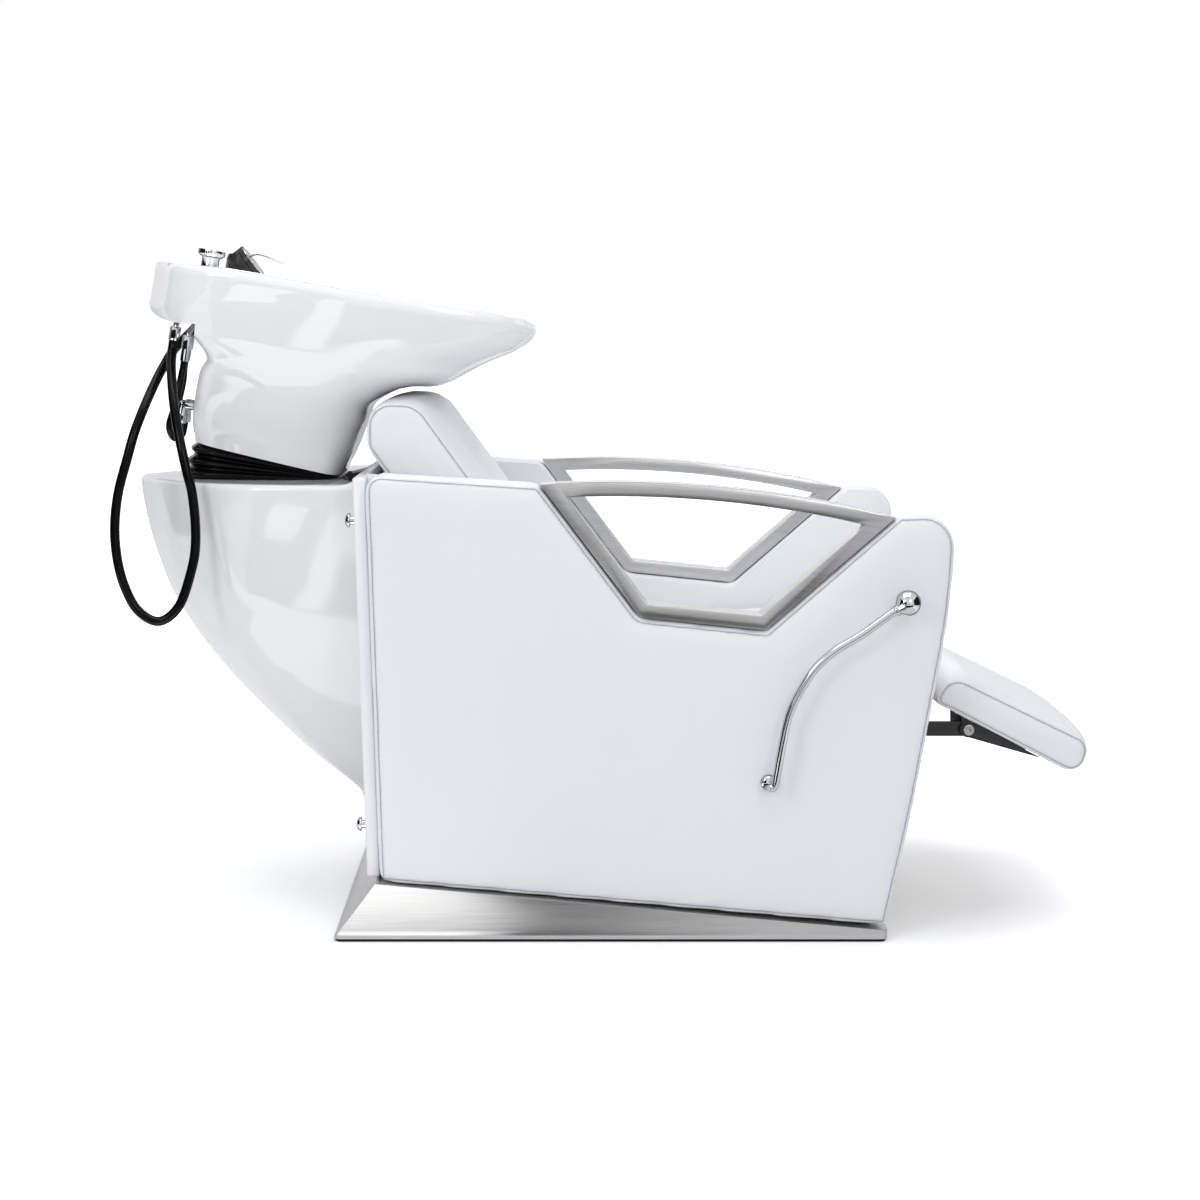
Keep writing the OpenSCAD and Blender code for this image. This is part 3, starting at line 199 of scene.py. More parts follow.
WHITE = (1.0, 1.0, 1.0)
BLACK = (0.0, 0.0, 0.0)
world = bpy.data.worlds.new("studio")
scene.world = world
surround = Finish(world, "Background")
ray = surround.node("ShaderNodeLightPath", out="Is Camera Ray")
glossy_ray = Value(surround, ray.socket.node.outputs["Is Glossy Ray"])
clear_ray = Value(surround, ray.socket.node.outputs["Is Transmission Ray"])
soft_grey = (0.62, 0.63, 0.65)
mirrored_grey = (0.75, 0.75, 0.77)
lit = surround.blend(glossy_ray + clear_ray, soft_grey, mirrored_grey)
surround.look(Color=surround.blend(ray, lit, WHITE))

# The floor glows only for the camera: white farther out, and darker round the chair, where it
# shows the chair's shadow.
floor_finish = material("studio_floor", Roughness=0.9, Base_Color=(0.86, 0.86, 0.87),
                        Specular_IOR_Level=0.0, Emission_Strength=1.0)
seen = floor_finish.node("ShaderNodeLightPath", out="Is Camera Ray")
level = floor_finish.where((0.5, 0.5, 0))
away = floor_finish.node("ShaderNodeVectorMath", {"operation": "LENGTH"}, {0: level}, out=1)
faded = floor_finish.steps(away, (0.3, 0.0), (0.75, 1.0))
glow = floor_finish.blend(faded, (0.25, 0.25, 0.25), WHITE)
floor_finish.look(Emission_Color=floor_finish.blend(seen, BLACK, glow))


def meshed(name, points, faces):
    """A mesh object from points in millimetres."""
    mesh = bpy.data.meshes.new(name)
    mesh.from_pydata([tuple(p) for p in np.asarray(points, float) * MM], [], faces)
    mesh.validate()
    piece = bpy.data.objects.new(name, mesh)
    scene.collection.objects.link(piece)
    return piece


def card(name, middle, turn, size):
    """A flat card, turned about X and then about Z."""
    w, h = size[0] / 2, size[1] / 2
    piece = meshed(name, [(-w, -h, 0), (w, -h, 0), (w, h, 0), (-w, h, 0)], [(0, 1, 2, 3)])
    tip, swing = (math.radians(angle) for angle in turn)
    turned = Matrix.Rotation(swing, 4, "Z") @ Matrix.Rotation(tip, 4, "X")
    piece.data.transform(Matrix.Translation(Vector(middle) * MM) @ turned)
    return piece


floor = card("studio_floor", (0, 20000, -0.5), (0, 0), (90000, 70000))
floor.data.materials.append(floor_finish.block)

black_card = material("black_card", Base_Color=(0.01, 0.01, 0.01), Roughness=1.0,
                      Specular_IOR_Level=0.0)
bright_card = material("bright_card", Base_Color=BLACK, Emission_Color=WHITE, Emission_Strength=2.0)
plinth_card = material("plinth_card", Base_Color=BLACK, Specular_IOR_Level=0.0, Emission_Strength=1.0)
across = plinth_card.node("ShaderNodeSeparateXYZ", {}, {"Vector": plinth_card.where((0.5, 1, 1))})
stripes = plinth_card.steps(across + 0.5, (0.385, 2.2), (0.43, 0.0), (0.5, 0.15), (0.62, 0.7))
plinth_card.look(Emission_Color=stripes)

# Upright cards, each with its middle, its turns in degrees and its size.
FLAGS = [
    ("flag_left", (-2500, -700, 900), (90, -90), (3600, 2400)),
    ("flag_right", (2600, -700, 900), (90, 90), (3600, 2400)),
    ("flag_front_left", (-1500, -3100, 800), (90, -14), (1700, 1500)),
    ("flag_high", (0, -1700, 3000), (60, 0), (1300, 500)),
    ("flag_behind", (0, 2400, 2500), (90, 0), (5200, 1500)),
]
for name, middle, turn, size in FLAGS:
    card(name, middle, turn, size).data.materials.append(black_card.block)

# Cards just above the floor, which the steel, the glaze and the moulded cover mirror.
FLOOR_CARDS = [
    ("dark_rear", black_card, [(-2900, -3400), (-960, -3400), (-860, -880), (-1190, -800)]),
    ("dark_front", black_card, [(-620, -2300), (2200, -2300), (900, -1050), (-650, -880)]),
    ("window_rear", bright_card, [(-1900, -3000), (-1260, -3000), (-1190, -1850), (-1520, -1700)]),
    ("window_middle", bright_card, [(-900, -2600), (-640, -2600), (-680, -900), (-830, -900)]),
    ("window_near", bright_card, [(-1700, -820), (-100, -860), (-160, -620), (-1500, -620)]),
    ("window_plinth", plinth_card, [(-1000, -640), (1000, -1300), (1000, -340), (-1000, -340)]),
]
for k, (name, finish, corners) in enumerate(FLOOR_CARDS):
    sheet = meshed(name, [(x, y, 3 + k) for x, y in corners], [(0, 1, 2, 3)])
    sheet.data.materials.append(finish.block)
for piece in scene.objects:
    if piece.name.startswith(("flag", "dark", "window")):
        piece.visible_camera = False
        piece.visible_diffuse = False
        piece.visible_shadow = False

# Soft boxes, each with its place, the point that it faces, its size and its power in watts.
SOFT_BOXES = [
    ("overhead", (-200, -300, 3300), (-100, 0, 500), (2600, 2200), 46),
    ("front_left", (-2200, -3000, 1900), (-200, 0, 600), (900, 1500), 22),
    ("front_right", (1300, -3300, 2100), (0, 0, 500), (700, 1100), 13),
    ("behind", (300, 2900, 2100), (-100, 0, 500), (2600, 1200), 26),
]
for name, place, aim, size, power in SOFT_BOXES:
    box = bpy.data.lights.new(name, "AREA")
    box.shape = "RECTANGLE"
    box.size = size[0] * MM
    box.size_y = size[1] * MM
    box.energy = power
    stand = bpy.data.objects.new(name, box)
    scene.collection.objects.link(stand)
    stand.location = Vector(place) * MM
    stand.rotation_mode = "QUATERNION"
    stand.rotation_quaternion = (Vector(aim) - Vector(place)).to_track_quat("-Z", "Y")


# Shower hose: one length of smooth black hose. It leaves the guide under the bowl's deck,
# hangs in a long loop behind the column and goes back up to a nut under the bowl.

rubber = material("rubber", Base_Color=(0.002, 0.002, 0.0022), Roughness=0.2, Specular_IOR_Level=0.16)
rubber.worn(60, 4, (0.35, 0.14), (0.7, 0.24))
rubber.grained(350, 2, 0.04)

HINGE = (-420, 635)
TILT = 10
AT_REST = (
    Matrix.Translation((HINGE[0] * MM, 0, HINGE[1] * MM))
    @ Matrix.Rotation(math.radians(TILT), 4, "Y")
    @ Matrix.Translation((-HINGE[0] * MM, 0, -HINGE[1] * MM))
)


def at_rest(points):
    """Points drawn about the level bowl, in millimetres, moved into its rest pose."""
    p = np.array(points, float)
    c, s = math.cos(math.radians(TILT)), math.sin(math.radians(TILT))
    x, z = p[..., 0] - HINGE[0], p[..., 2] - HINGE[1]
    moved = [HINGE[0] + x * c + z * s, p[..., 1], HINGE[1] - x * s + z * c]
    return np.stack(moved, -1)


def spline(points, steps, closed=False):
    """Smooth curve through points, or through rows of points, with steps from each to the next."""
    p = np.array(points, float)
    n = len(p)
    line = []
    for i in range(n if closed else n - 1):
        near = [i - 1, i, i + 1, i + 2]
        a, b, c, d = (p[k % n] if closed else p[min(max(k, 0), n - 1)] for k in near)
        for w in np.arange(steps) / steps:
            bend = (2 * a - 5 * b + 4 * c - d) * w**2 + (3 * b - a - 3 * c + d) * w**3
            line.append(0.5 * (2 * b + (c - a) * w + bend))
    if not closed:
        line.append(p[-1])
    return np.array(line)


def route(points, steps):
    """Smooth route with straight first and last stretches."""
    return np.vstack([points[:1], spline(points[1:-1], steps), points[-1:]])


def hose(name, line, radius):
    """A round hose along a line, as a curve with closed ends."""
    curve = bpy.data.curves.new(name, "CURVE")
    curve.dimensions = "3D"
    curve.bevel_depth = radius * MM
    curve.bevel_resolution = 5
    curve.use_fill_caps = True
    run = curve.splines.new("POLY")
    run.points.add(len(line) - 1)
    run.points.foreach_set("co", np.hstack([line * MM, np.ones((len(line), 1))]).ravel())
    run.use_smooth = True
    piece = bpy.data.objects.new(name, curve)
    scene.collection.objects.link(piece)
    return piece


def coated(piece, finish):
    piece.data.materials.clear()
    piece.data.materials.append(finish.block)
    return piece


def fit(piece, body, finish, slot, *nodes):
    """Gives a piece its finish, sets it on its body and lets it stand for CAD nodes."""
    coated(piece, finish)
    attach(piece, body)
    if nodes:
        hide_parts(*nodes)
    return piece


GUIDE = (-659, -50)
GUIDE_LOW = 891.95
NUT_A = (-680, -140, 834)
NUT_H = 20
HOSE_R = 7
STRAIGHT = 14
SLOPE = np.array([-math.sin(math.radians(TILT)), 0, -math.cos(math.radians(TILT))])
hose_start = at_rest([*GUIDE, GUIDE_LOW])
hose_end = at_rest([NUT_A[0], NUT_A[1], NUT_A[2] - NUT_H])
HANGING = [
    [-616, -51, 898], [-623, -60, 879], [-636, -78, 862], [-651, -100, 843], [-661, -138, 818],
    [-669, -174, 792], [-679, -205, 759], [-690, -225, 723], [-700, -232, 685], [-712, -232, 643],
    [-718, -232, 605], [-719, -232, 569], [-715, -232, 533], [-707, -232, 503], [-693, -232, 473],
    [-675, -232, 456], [-657, -232, 451], [-639, -232, 461], [-624, -232, 482], [-611, -232, 521],
    [-604, -232, 554], [-603, -232, 593], [-607, -232, 638], [-614, -232, 668], [-624, -225, 711],
    [-635, -205, 760], [-642, -180, 796], [-647, -154, 822]]
hose_line = route(np.array([
    hose_start, hose_start + STRAIGHT * SLOPE, *HANGING, hose_end + STRAIGHT * SLOPE, hose_end]), 4)
shower_hose = hose("shower_hose_run", hose_line, HOSE_R)
fit(shower_hose, "bowl", rubber, "rubber", "shower_hose")


# Base: a rubber strip and a steel plate on the floor, and a wedge-shaped plinth folded from
# stainless sheet, brushed along its length.


def finished(piece):
    """Makes a piece's modifiers part of its mesh. A curve comes back as a new mesh object."""
    bpy.context.view_layer.update()
    graph = bpy.context.evaluated_depsgraph_get()
    mesh = bpy.data.meshes.new_from_object(piece.evaluated_get(graph), depsgraph=graph)
    if piece.type == "MESH":
        piece.modifiers.clear()
        piece.data = mesh
        return piece
    name = piece.name
    bpy.data.objects.remove(piece)
    solid = bpy.data.objects.new(name, mesh)
    scene.collection.objects.link(solid)
    return solid


def smooth(piece, corner):
    """Smooth shading, with edges sharper than corner degrees left crisp."""
    piece.data.shade_smooth()
    piece.data.set_sharp_from_angle(angle=math.radians(corner))
    return piece


def merged(node, name):
    """A copy of a CAD node's shape, with its corners merged and its flat faces whole."""
    mesh = frame["nodes"][node].data.copy()
    shape = bmesh.new()
    shape.from_mesh(mesh)
    bmesh.ops.remove_doubles(shape, verts=shape.verts, dist=0.01 * MM)
    bmesh.ops.dissolve_limit(shape, angle_limit=math.radians(0.05), verts=shape.verts, edges=shape.edges)
    shape.to_mesh(mesh)
    shape.free()
    piece = bpy.data.objects.new(name, mesh)
    scene.collection.objects.link(piece)
    return piece


BODIES = frame["record"]["behaviour"]["bodies"]
BODY_OF = {node: body for body, members in BODIES.items() for node in members}
SLOT_OF = {part["node"]: part["material_slot"] for part in frame["record"]["subparts"]}


def dressed(node, finish, edge, corner=40, slot=None):
    """A CAD node's shape with its finish. Edges sharper than corner degrees are rounded."""
    piece = merged(node, node + "_made")
    bevel = piece.modifiers.new("edge", "BEVEL")
    bevel.width = edge * MM
    bevel.segments = 2
    bevel.limit_method = "ANGLE"
    bevel.angle_limit = math.radians(corner)
    smooth(finished(piece), corner)
    return fit(piece, BODY_OF[node], finish, slot or SLOT_OF[node], node)


def brushed(name, tone, stretch, attribute=None):
    """Brushed metal with fine lines along one direction."""
    finish = material(name, Metallic=1.0, Anisotropic=0.4)
    if attribute:
        bar = finish.node("ShaderNodeAttribute", {"attribute_name": attribute}, out="Vector")
        place = finish.node("ShaderNodeMapping", {}, {"Vector": bar, "Scale": stretch})
    else:
        place = finish.where(stretch)
    lines = finish.noise(1.0, 6.0, place=place)
    broad = finish.noise(0.12, 2.0, place=place)
    mask = lines * 0.85 + broad * 0.15
    dark = tuple(0.88 * t for t in tone)
    light = tuple(min(1.0, 1.1 * t) for t in tone)
    finish.look(Base_Color=finish.blend(finish.steps(mask, (0.35, 0.0), (0.65, 1.0)), dark, light))
    finish.look(Roughness=finish.steps(mask, (0.3, 0.26), (0.7, 0.36)))
    finish.relief(lines, 0.02)
    return finish


stainless = brushed("stainless", (0.6, 0.6, 0.595), (9, 1400, 1400))
plain_steel = brushed("plain_steel", (0.42, 0.43, 0.44), (40, 90, 90))
dressed("floor_gasket", rubber, 0.8)
dressed("floor_plate", plain_steel, 0.5)
dressed("plinth_shell", stainless, 0.8, 25)


# Seat, back and rear boards: birch plywood. The seat board is left bare, and the back and rear
# boards are painted white. Steel angles hold them together.

plywood = material("plywood", Roughness=0.45)
plies = plywood.node("ShaderNodeTexWave", {"wave_type": "BANDS", "bands_direction": "Y"}, {
    "Vector": plywood.where(), "Scale": 110.0, "Distortion": 1.5, "Detail": 2.0})
figure = plywood.noise(9, 6, (1, 1, 8))
wood = plywood.blend(plies * 0.3 + figure * 0.7, (0.47, 0.33, 0.2), (0.74, 0.6, 0.42))
plywood.look(Base_Color=wood)
plywood.relief(figure, 0.15)
white_board = material("white_board", Roughness=0.34, Base_Color=(0.82, 0.82, 0.84))
white_board.grained(160, 3, 0.06)
white_board.mottled(12, 4, (0.8, 0.8, 0.82), (0.85, 0.85, 0.86))

dressed("seat_board", plywood, 0.8)
dressed("back_board", white_board, 0.8, slot="white_board")
dressed("board_brackets", plain_steel, 0.5)
dressed("rear_board", white_board, 3.5)


# Upholstery: side pads, seat, back and leg cushions. Each is foam under white leatherette,
# with a piped seam where the side panel is sewn to the band that goes round it. The side
# boards are covered too, because their inner faces show beside the seat.

leatherette = material("leatherette", Base_Color=(0.79, 0.795, 0.82), Roughness=0.42,
                       Specular_IOR_Level=0.35)
pores = leatherette.node("ShaderNodeTexVoronoi", {"feature": "DISTANCE_TO_EDGE"}, {
    "Vector": leatherette.where(), "Scale": 620.0})
creases = leatherette.noise(240, 4)
seam_mask = leatherette.node("ShaderNodeAttribute", {"attribute_name": "seam"}, out="Fac")
shade = leatherette.noise(3.5, 3)
tone = leatherette.blend(shade, (0.775, 0.78, 0.81), (0.8, 0.805, 0.83))
leatherette.look(
    Base_Color=leatherette.blend(seam_mask, tone, (0.42, 0.42, 0.45)),
    Roughness=leatherette.steps(creases, (0.3, 0.38), (0.7, 0.5)))
raised = leatherette.steps(pores, (0.0, 0.0), (0.22, 1.0))
leatherette.relief(raised * 0.7 + creases * 0.3, 0.05)

thread = material("thread", Base_Color=(0.3, 0.3, 0.32), Roughness=0.8)
thread.mottled(900, 2, (0.24, 0.24, 0.26), (0.4, 0.4, 0.42))

for node in ("side_board_near", "side_board_far"):
    dressed(node, leatherette, 4, 30, "leatherette")


def unit(v):
    return v / np.linalg.norm(v)


def inset(corners, d):
    """Corners [x, z, radius] moved inwards by d."""
    n = len(corners)
    moved = []
    for i, (x, z, r) in enumerate(corners):
        b = np.array([x, z])
        u = unit(np.array(corners[i - 1][:2]) - b)
        v = unit(np.array(corners[(i + 1) % n][:2]) - b)
        way = -1 if u[0] * v[1] - u[1] * v[0] > 0 else 1
        p = b + way * unit(u + v) * d / math.sin(math.acos(u @ v) / 2)
        moved.append([p[0], p[1], max(0.6, r - way * d)])
    return moved


def rounded(corners, steps=10):
    """Outline of corners [x, z, radius] with arcs at them."""
    n = len(corners)
    line = []
    for i, (x, z, r) in enumerate(corners):
        b = np.array([x, z])
        u = unit(np.array(corners[i - 1][:2]) - b)
        v = unit(np.array(corners[(i + 1) % n][:2]) - b)
        half = math.acos(u @ v) / 2
        centre = b + unit(u + v) * r / math.sin(half)
        start = b + u * r / math.tan(half) - centre
        turn = (-1 if u[0] * v[1] - u[1] * v[0] > 0 else 1) * (math.pi - 2 * half)
        first = math.atan2(start[1], start[0])
        for k in range(steps + 1):
            a = first + turn * k / steps
            line.append(centre + r * np.array([math.cos(a), math.sin(a)]))
    return np.array(line)


def even(line, gap, closed=True):
    """Points at an even distance along a line."""
    p = np.vstack([line, line[:1]]) if closed else line
    along = np.concatenate([[0], np.cumsum(np.linalg.norm(np.diff(p, axis=0), axis=1))])
    count = max(8, int(along[-1] / gap))
    places = np.linspace(0, along[-1], count, endpoint=not closed)
    return np.stack([np.interp(places, along, p[:, k]) for k in range(p.shape[1])], 1)


def ramp(value, low, high):
    """0 up to low, 1 from high on, and an even rise between them."""
    t = np.clip((value - low) / (high - low), 0, 1)
    return t * t * (3 - 2 * t)


def read_points(mesh):
    flat = np.zeros(len(mesh.vertices) * 3, np.float32)
    mesh.vertices.foreach_get("co", flat)
    return flat.reshape(-1, 3).astype(float) / MM


def write_points(mesh, points):
    mesh.vertices.foreach_set("co", (points * MM).astype(np.float32).ravel())
    mesh.update()


def read_normals(mesh):
    flat = np.zeros(len(mesh.vertices) * 3, np.float32)
    mesh.vertex_normals.foreach_get("vector", flat)
    return flat.reshape(-1, 3).astype(float)


PUFF_FRAMES = 15


def puffed(piece):
    """Where the pad's points go when its filling presses on the cover: cloth under pressure."""
    twin = bpy.data.objects.new("cloth_try", piece.data.copy())
    scene.collection.objects.link(twin)
    cloth = twin.modifiers.new("cloth", "CLOTH")
    cloth.settings.quality = 4
    cloth.settings.mass = 0.3
    cloth.settings.tension_stiffness = 40
    cloth.settings.compression_stiffness = 40
    cloth.settings.bending_stiffness = 2
    cloth.settings.use_pressure = True
    cloth.settings.uniform_pressure_force = 4
    cloth.settings.effector_weights.gravity = 0
    for step in range(PUFF_FRAMES):
        scene.frame_set(step + 1)
    graph = bpy.context.evaluated_depsgraph_get()
    mesh = bpy.data.meshes.new_from_object(twin.evaluated_get(graph), depsgraph=graph)
    points = read_points(mesh)
    bpy.data.objects.remove(twin)
    scene.frame_set(1)
    return points


def add_smooth(piece, factor, rounds):
    modifier = piece.modifiers.new("even", "SMOOTH")
    modifier.factor = factor
    modifier.iterations = rounds


def upholstered(node, name, cell, cap, free, hole=None):
    """A CAD pad filled out: even quads of size cell, cloth under pressure where it is free, which
    bulges by cap at most, and one subdivision. A hole [x, z, radius] is closed first."""
    piece = merged(node, name)
    if hole is not None:
        shape = bmesh.new()
        shape.from_mesh(piece.data)
        x, z, r = hole
        inside = [f for f in shape.faces
                  if all(math.hypot(v.co.x / MM - x, v.co.z / MM - z) < r for v in f.verts)]
        bmesh.ops.delete(shape, geom=inside, context="FACES")
        bmesh.ops.holes_fill(shape, edges=[e for e in shape.edges if e.is_boundary])
        shape.to_mesh(piece.data)
        shape.free()
    remesh = piece.modifiers.new("cells", "REMESH")
    remesh.mode = "VOXEL"
    remesh.voxel_size = cell * MM
    add_smooth(piece, 0.5, 6)
    finished(piece)
    start = read_points(piece.data)
    normals = read_normals(piece.data)
    share = free(start)[:, None]
    small = start - 0.5 * cap * share * normals
    write_points(piece.data, small)
    move = puffed(piece) - small
    push = np.clip((move * normals).sum(axis=1), 0.5 * cap, cap)[:, None]
    write_points(piece.data, small + push * normals * share)
    add_smooth(piece, 0.4, 3)
    finer = piece.modifiers.new("finer", "SUBSURF")
    finer.levels = 1
    finer.render_levels = 1
    finished(piece)
    piece.data.shade_smooth()
    return piece


def gaps_to(points, places):
    """Distance from each point to the nearest of the places."""
    near = KDTree(len(places))
    for i, p in enumerate(places):
        near.insert(p, i)
    near.balance()
    return np.array([near.find(p)[2] for p in points])


SEAM_DEPTH = 1.2
SEAM_WIDTH = 3.2
SEAM_SHADE = 0.55


def sewn(piece, paths):
    """Presses a seam into a pad along paths, each a closed line with the way to its surface.
    Returns the paths as they lie on the pad."""
    tree = BVHTree.FromObject(piece, bpy.context.evaluated_depsgraph_get())
    found = []
    for line, way in paths:
        spots = [Vector(p) * MM for p in line]
        hits = [tree.ray_cast(spot, Vector(way))[0] for spot in spots]
        laid = [spot if hit is None else hit for spot, hit in zip(spots, hits)]
        found.append(np.array(laid) / MM)
    points = read_points(piece.data)
    normals = read_normals(piece.data)
    gap = gaps_to(points, np.vstack(found))
    pressed = SEAM_DEPTH * (1 - ramp(gap, 0, SEAM_WIDTH))
    write_points(piece.data, points - normals * pressed[:, None])
    mark = piece.data.attributes.new("seam", "FLOAT", "POINT")
    shade = SEAM_SHADE * (1 - ramp(gap, 0.2, 2.4))
    mark.data.foreach_set("value", shade.astype(np.float32))
    return found


PAD_OUTER = 330
PLINTH_REAR = (-339, 85)
PLINTH_FRONT = (384, 18)
BOARD_TOP = (-353, 674.5)
BOARD_FOOT = (-335, 85)


def along(a, b, x):
    """Height at x of the straight line through a and b."""
    return a[1] + (b[1] - a[1]) * (x - a[0]) / (b[0] - a[0])


def plinth_top(x):
    return along(PLINTH_REAR, PLINTH_FRONT, x)


def board_x(z):
    """Where the rear board's front face is at height z."""
    return along(BOARD_TOP[::-1], BOARD_FOOT[::-1], z)


ARM_LOW_FRONT = np.array([217, 453])
ARM_FRONT = np.array([399, 614])
ARM_REAR = np.array([-105, 659])
ARM_LOW_REAR = np.array([38, 471])
arm_corners = [[*ARM_LOW_FRONT, 3], [*ARM_FRONT, 0.6], [*ARM_REAR, 0.6], [*ARM_LOW_REAR, 20]]
arm_slot = inset(arm_corners, -0.4)
notch_front = np.array(arm_slot[1][:2]) + 6 * unit(ARM_FRONT - ARM_LOW_FRONT)
PANEL = [
    [BOARD_FOOT[0], plinth_top(BOARD_FOOT[0]) + 0.3, 8], [399, 20, 6], [436, 200, 2500],
    [482, 480, 1000], [489, 622, 48], [*notch_front, 8], [*arm_slot[0][:2], 3],
    [*arm_slot[3][:2], 18], [*arm_slot[2][:2], 14], [*BOARD_TOP, 24]]
LEVER_AXIS = (223, 235)


def lifted(outline, y):
    """An outline's points as a line in the plane y."""
    return np.insert(np.asarray(outline), 1, y, axis=1)


notch = even(np.array([arm_slot[i][:2] for i in (1, 0, 3, 2)]), 4, closed=False)
notch_line = lifted(notch, 0)


def side_pad_free(p):
    """How free the pad's cover is: 0 at its board, the plinth, the rear board and the arm frame."""
    off_board = 1 - ramp(p[:, 1], -PAD_OUTER + 34, -PAD_OUTER + 60)
    off_plinth = ramp(p[:, 2] - plinth_top(p[:, 0]), 2, 28)
    off_rear = ramp(p[:, 0] - board_x(p[:, 2]), 2, 28)
    off_notch = ramp(gaps_to(p * (1, 0, 1), notch_line), 2, 26)
    return off_board * off_plinth * off_rear * off_notch


bush_hole = (*LEVER_AXIS, 16)
side_pad = upholstered("side_pad_near", "side_pad_near_sewn", 7, 3.5, side_pad_free, bush_hole)
pad_seam = lifted(even(rounded(inset(PANEL, 7.5)), 2.5), -PAD_OUTER - 30)
pad_paths = sewn(side_pad, [(pad_seam, (0, 1, 0))])
far_pad = bpy.data.objects.new("side_pad_far_sewn", side_pad.data.copy())
scene.collection.objects.link(far_pad)
far_pad.data.transform(Matrix.Scale(-1, 4, (0, 1, 0)))
far_pad.data.flip_normals()
for pad, node in ((side_pad, "side_pad_near"), (far_pad, "side_pad_far")):
    fit(pad, "root", leatherette, "leatherette", node)
chair_seams = pad_paths + [line * (1, -1, 1) for line in pad_paths]

# Sections of the seat, back and leg cushions, as corners [x, z, radius].
HALF_CUSHION = 240
SEAT = [[-25, 298, 12], [452, 338, 14], [458, 430, 34], [-30, 390, 12]]
BACK = [[-99, 349, 10], [-18, 408, 12], [-281, 770, 45], [-356, 772, 36], [-356, 705, 30]]
LEG = [[472, 333, 14], [501, 321.5, 30], [694, 221.5, 24], [712, 276, 26], [497, 380, 30]]


def off_face(p, a, b, low, high):
    """0 near the face from corner a to corner b of a section, 1 away from it."""
    a, b = np.array(a[:2]), np.array(b[:2])
    n = unit(b - a)
    inward = (p[:, 0] - a[0]) * -n[1] + (p[:, 2] - a[1]) * n[0]
    return ramp(inward, low, high)


def seat_free(p):
    return off_face(p, SEAT[0], SEAT[1], 2, 24) * off_face(p, SEAT[3], SEAT[0], 2, 24)


def back_free(p):
    return off_face(p, (-330, 668), BACK[0], 2, 24) * off_face(p, BACK[0], BACK[1], 2, 24)


def leg_free(p):
    return off_face(p, LEG[1], LEG[2], 2, 20)


def side_seams(corners, d):
    """The seams round a cushion's two side panels, d inside its section's outline."""
    outline = even(rounded(inset(corners, d)), 2.5)
    return [(lifted(outline, s * (HALF_CUSHION + 30)), (0, -s, 0)) for s in (-1, 1)]


# Each cushion with its body, section, freedom, cell and cap.
CUSHIONS = [
    ("seat_cushion", "root", SEAT, seat_free, 6, 4),
    ("back_cushion", "root", BACK, back_free, 6, 4),
    ("leg_cushion", "leg_rest", LEG, leg_free, 5, 3),
]
leg_seams = []
for node, body, corners, free, cell, cap in CUSHIONS:
    cushion = upholstered(node, node + "_sewn", cell, cap, free)
    lines = sewn(cushion, side_seams(corners, 6))
    (leg_seams if body == "leg_rest" else chair_seams).extend(lines)
    fit(cushion, body, leatherette, "leatherette", node)


SOCKETS = {"Material": bpy.types.Material, "Object": bpy.types.Object, "Float": float}


class Tree:
    """A geometry tree being made, with named inputs for its sizes."""

    def __init__(self, name, **inputs):
        self.tree = bpy.data.node_groups.new(name, "GeometryNodeTree")
        sockets = self.tree.interface
        sockets.new_socket("Geometry", in_out="INPUT", socket_type="NodeSocketGeometry")
        for label, value in inputs.items():
            kind = next(kind for kind, sort in SOCKETS.items() if isinstance(value, sort))
            sockets.new_socket(label, in_out="INPUT", socket_type="NodeSocket" + kind)
        sockets.new_socket("Geometry", in_out="OUTPUT", socket_type="NodeSocketGeometry")
        self.inputs = inputs
        self.start = self.tree.nodes.new("NodeGroupInput")
        self.end = self.tree.nodes.new("NodeGroupOutput")

    def given(self, label):
        return self.start.outputs[label]

    def node(self, kind, settings=None, inputs=None, out=0):
        node = self.tree.nodes.new(kind)
        for name, setting in (settings or {}).items():
            setattr(node, name, setting)
        for name, term in (inputs or {}).items():
            if isinstance(term, bpy.types.NodeSocket):
                self.tree.links.new(term, node.inputs[name])
            else:
                node.inputs[name].default_value = term
        return node.outputs[out]

    def close(self, geometry):
        """Realizes the instances, sets the material and ends the tree."""
        real = self.node("GeometryNodeRealizeInstances", {}, {"Geometry": geometry})
        done = self.node("GeometryNodeSetMaterial", {}, {
            "Geometry": real, "Material": self.given("Material")})
        self.tree.links.new(done, self.end.inputs["Geometry"])

    def run(self, piece):
        """Runs the tree on a piece and keeps the result as its mesh."""
        modifier = piece.modifiers.new("tree", "NODES")
        modifier.node_group = self.tree
        for item in self.tree.interface.items_tree:
            if item.in_out == "INPUT" and item.name in self.inputs:
                modifier[item.identifier] = self.inputs[item.name]
        return finished(piece)


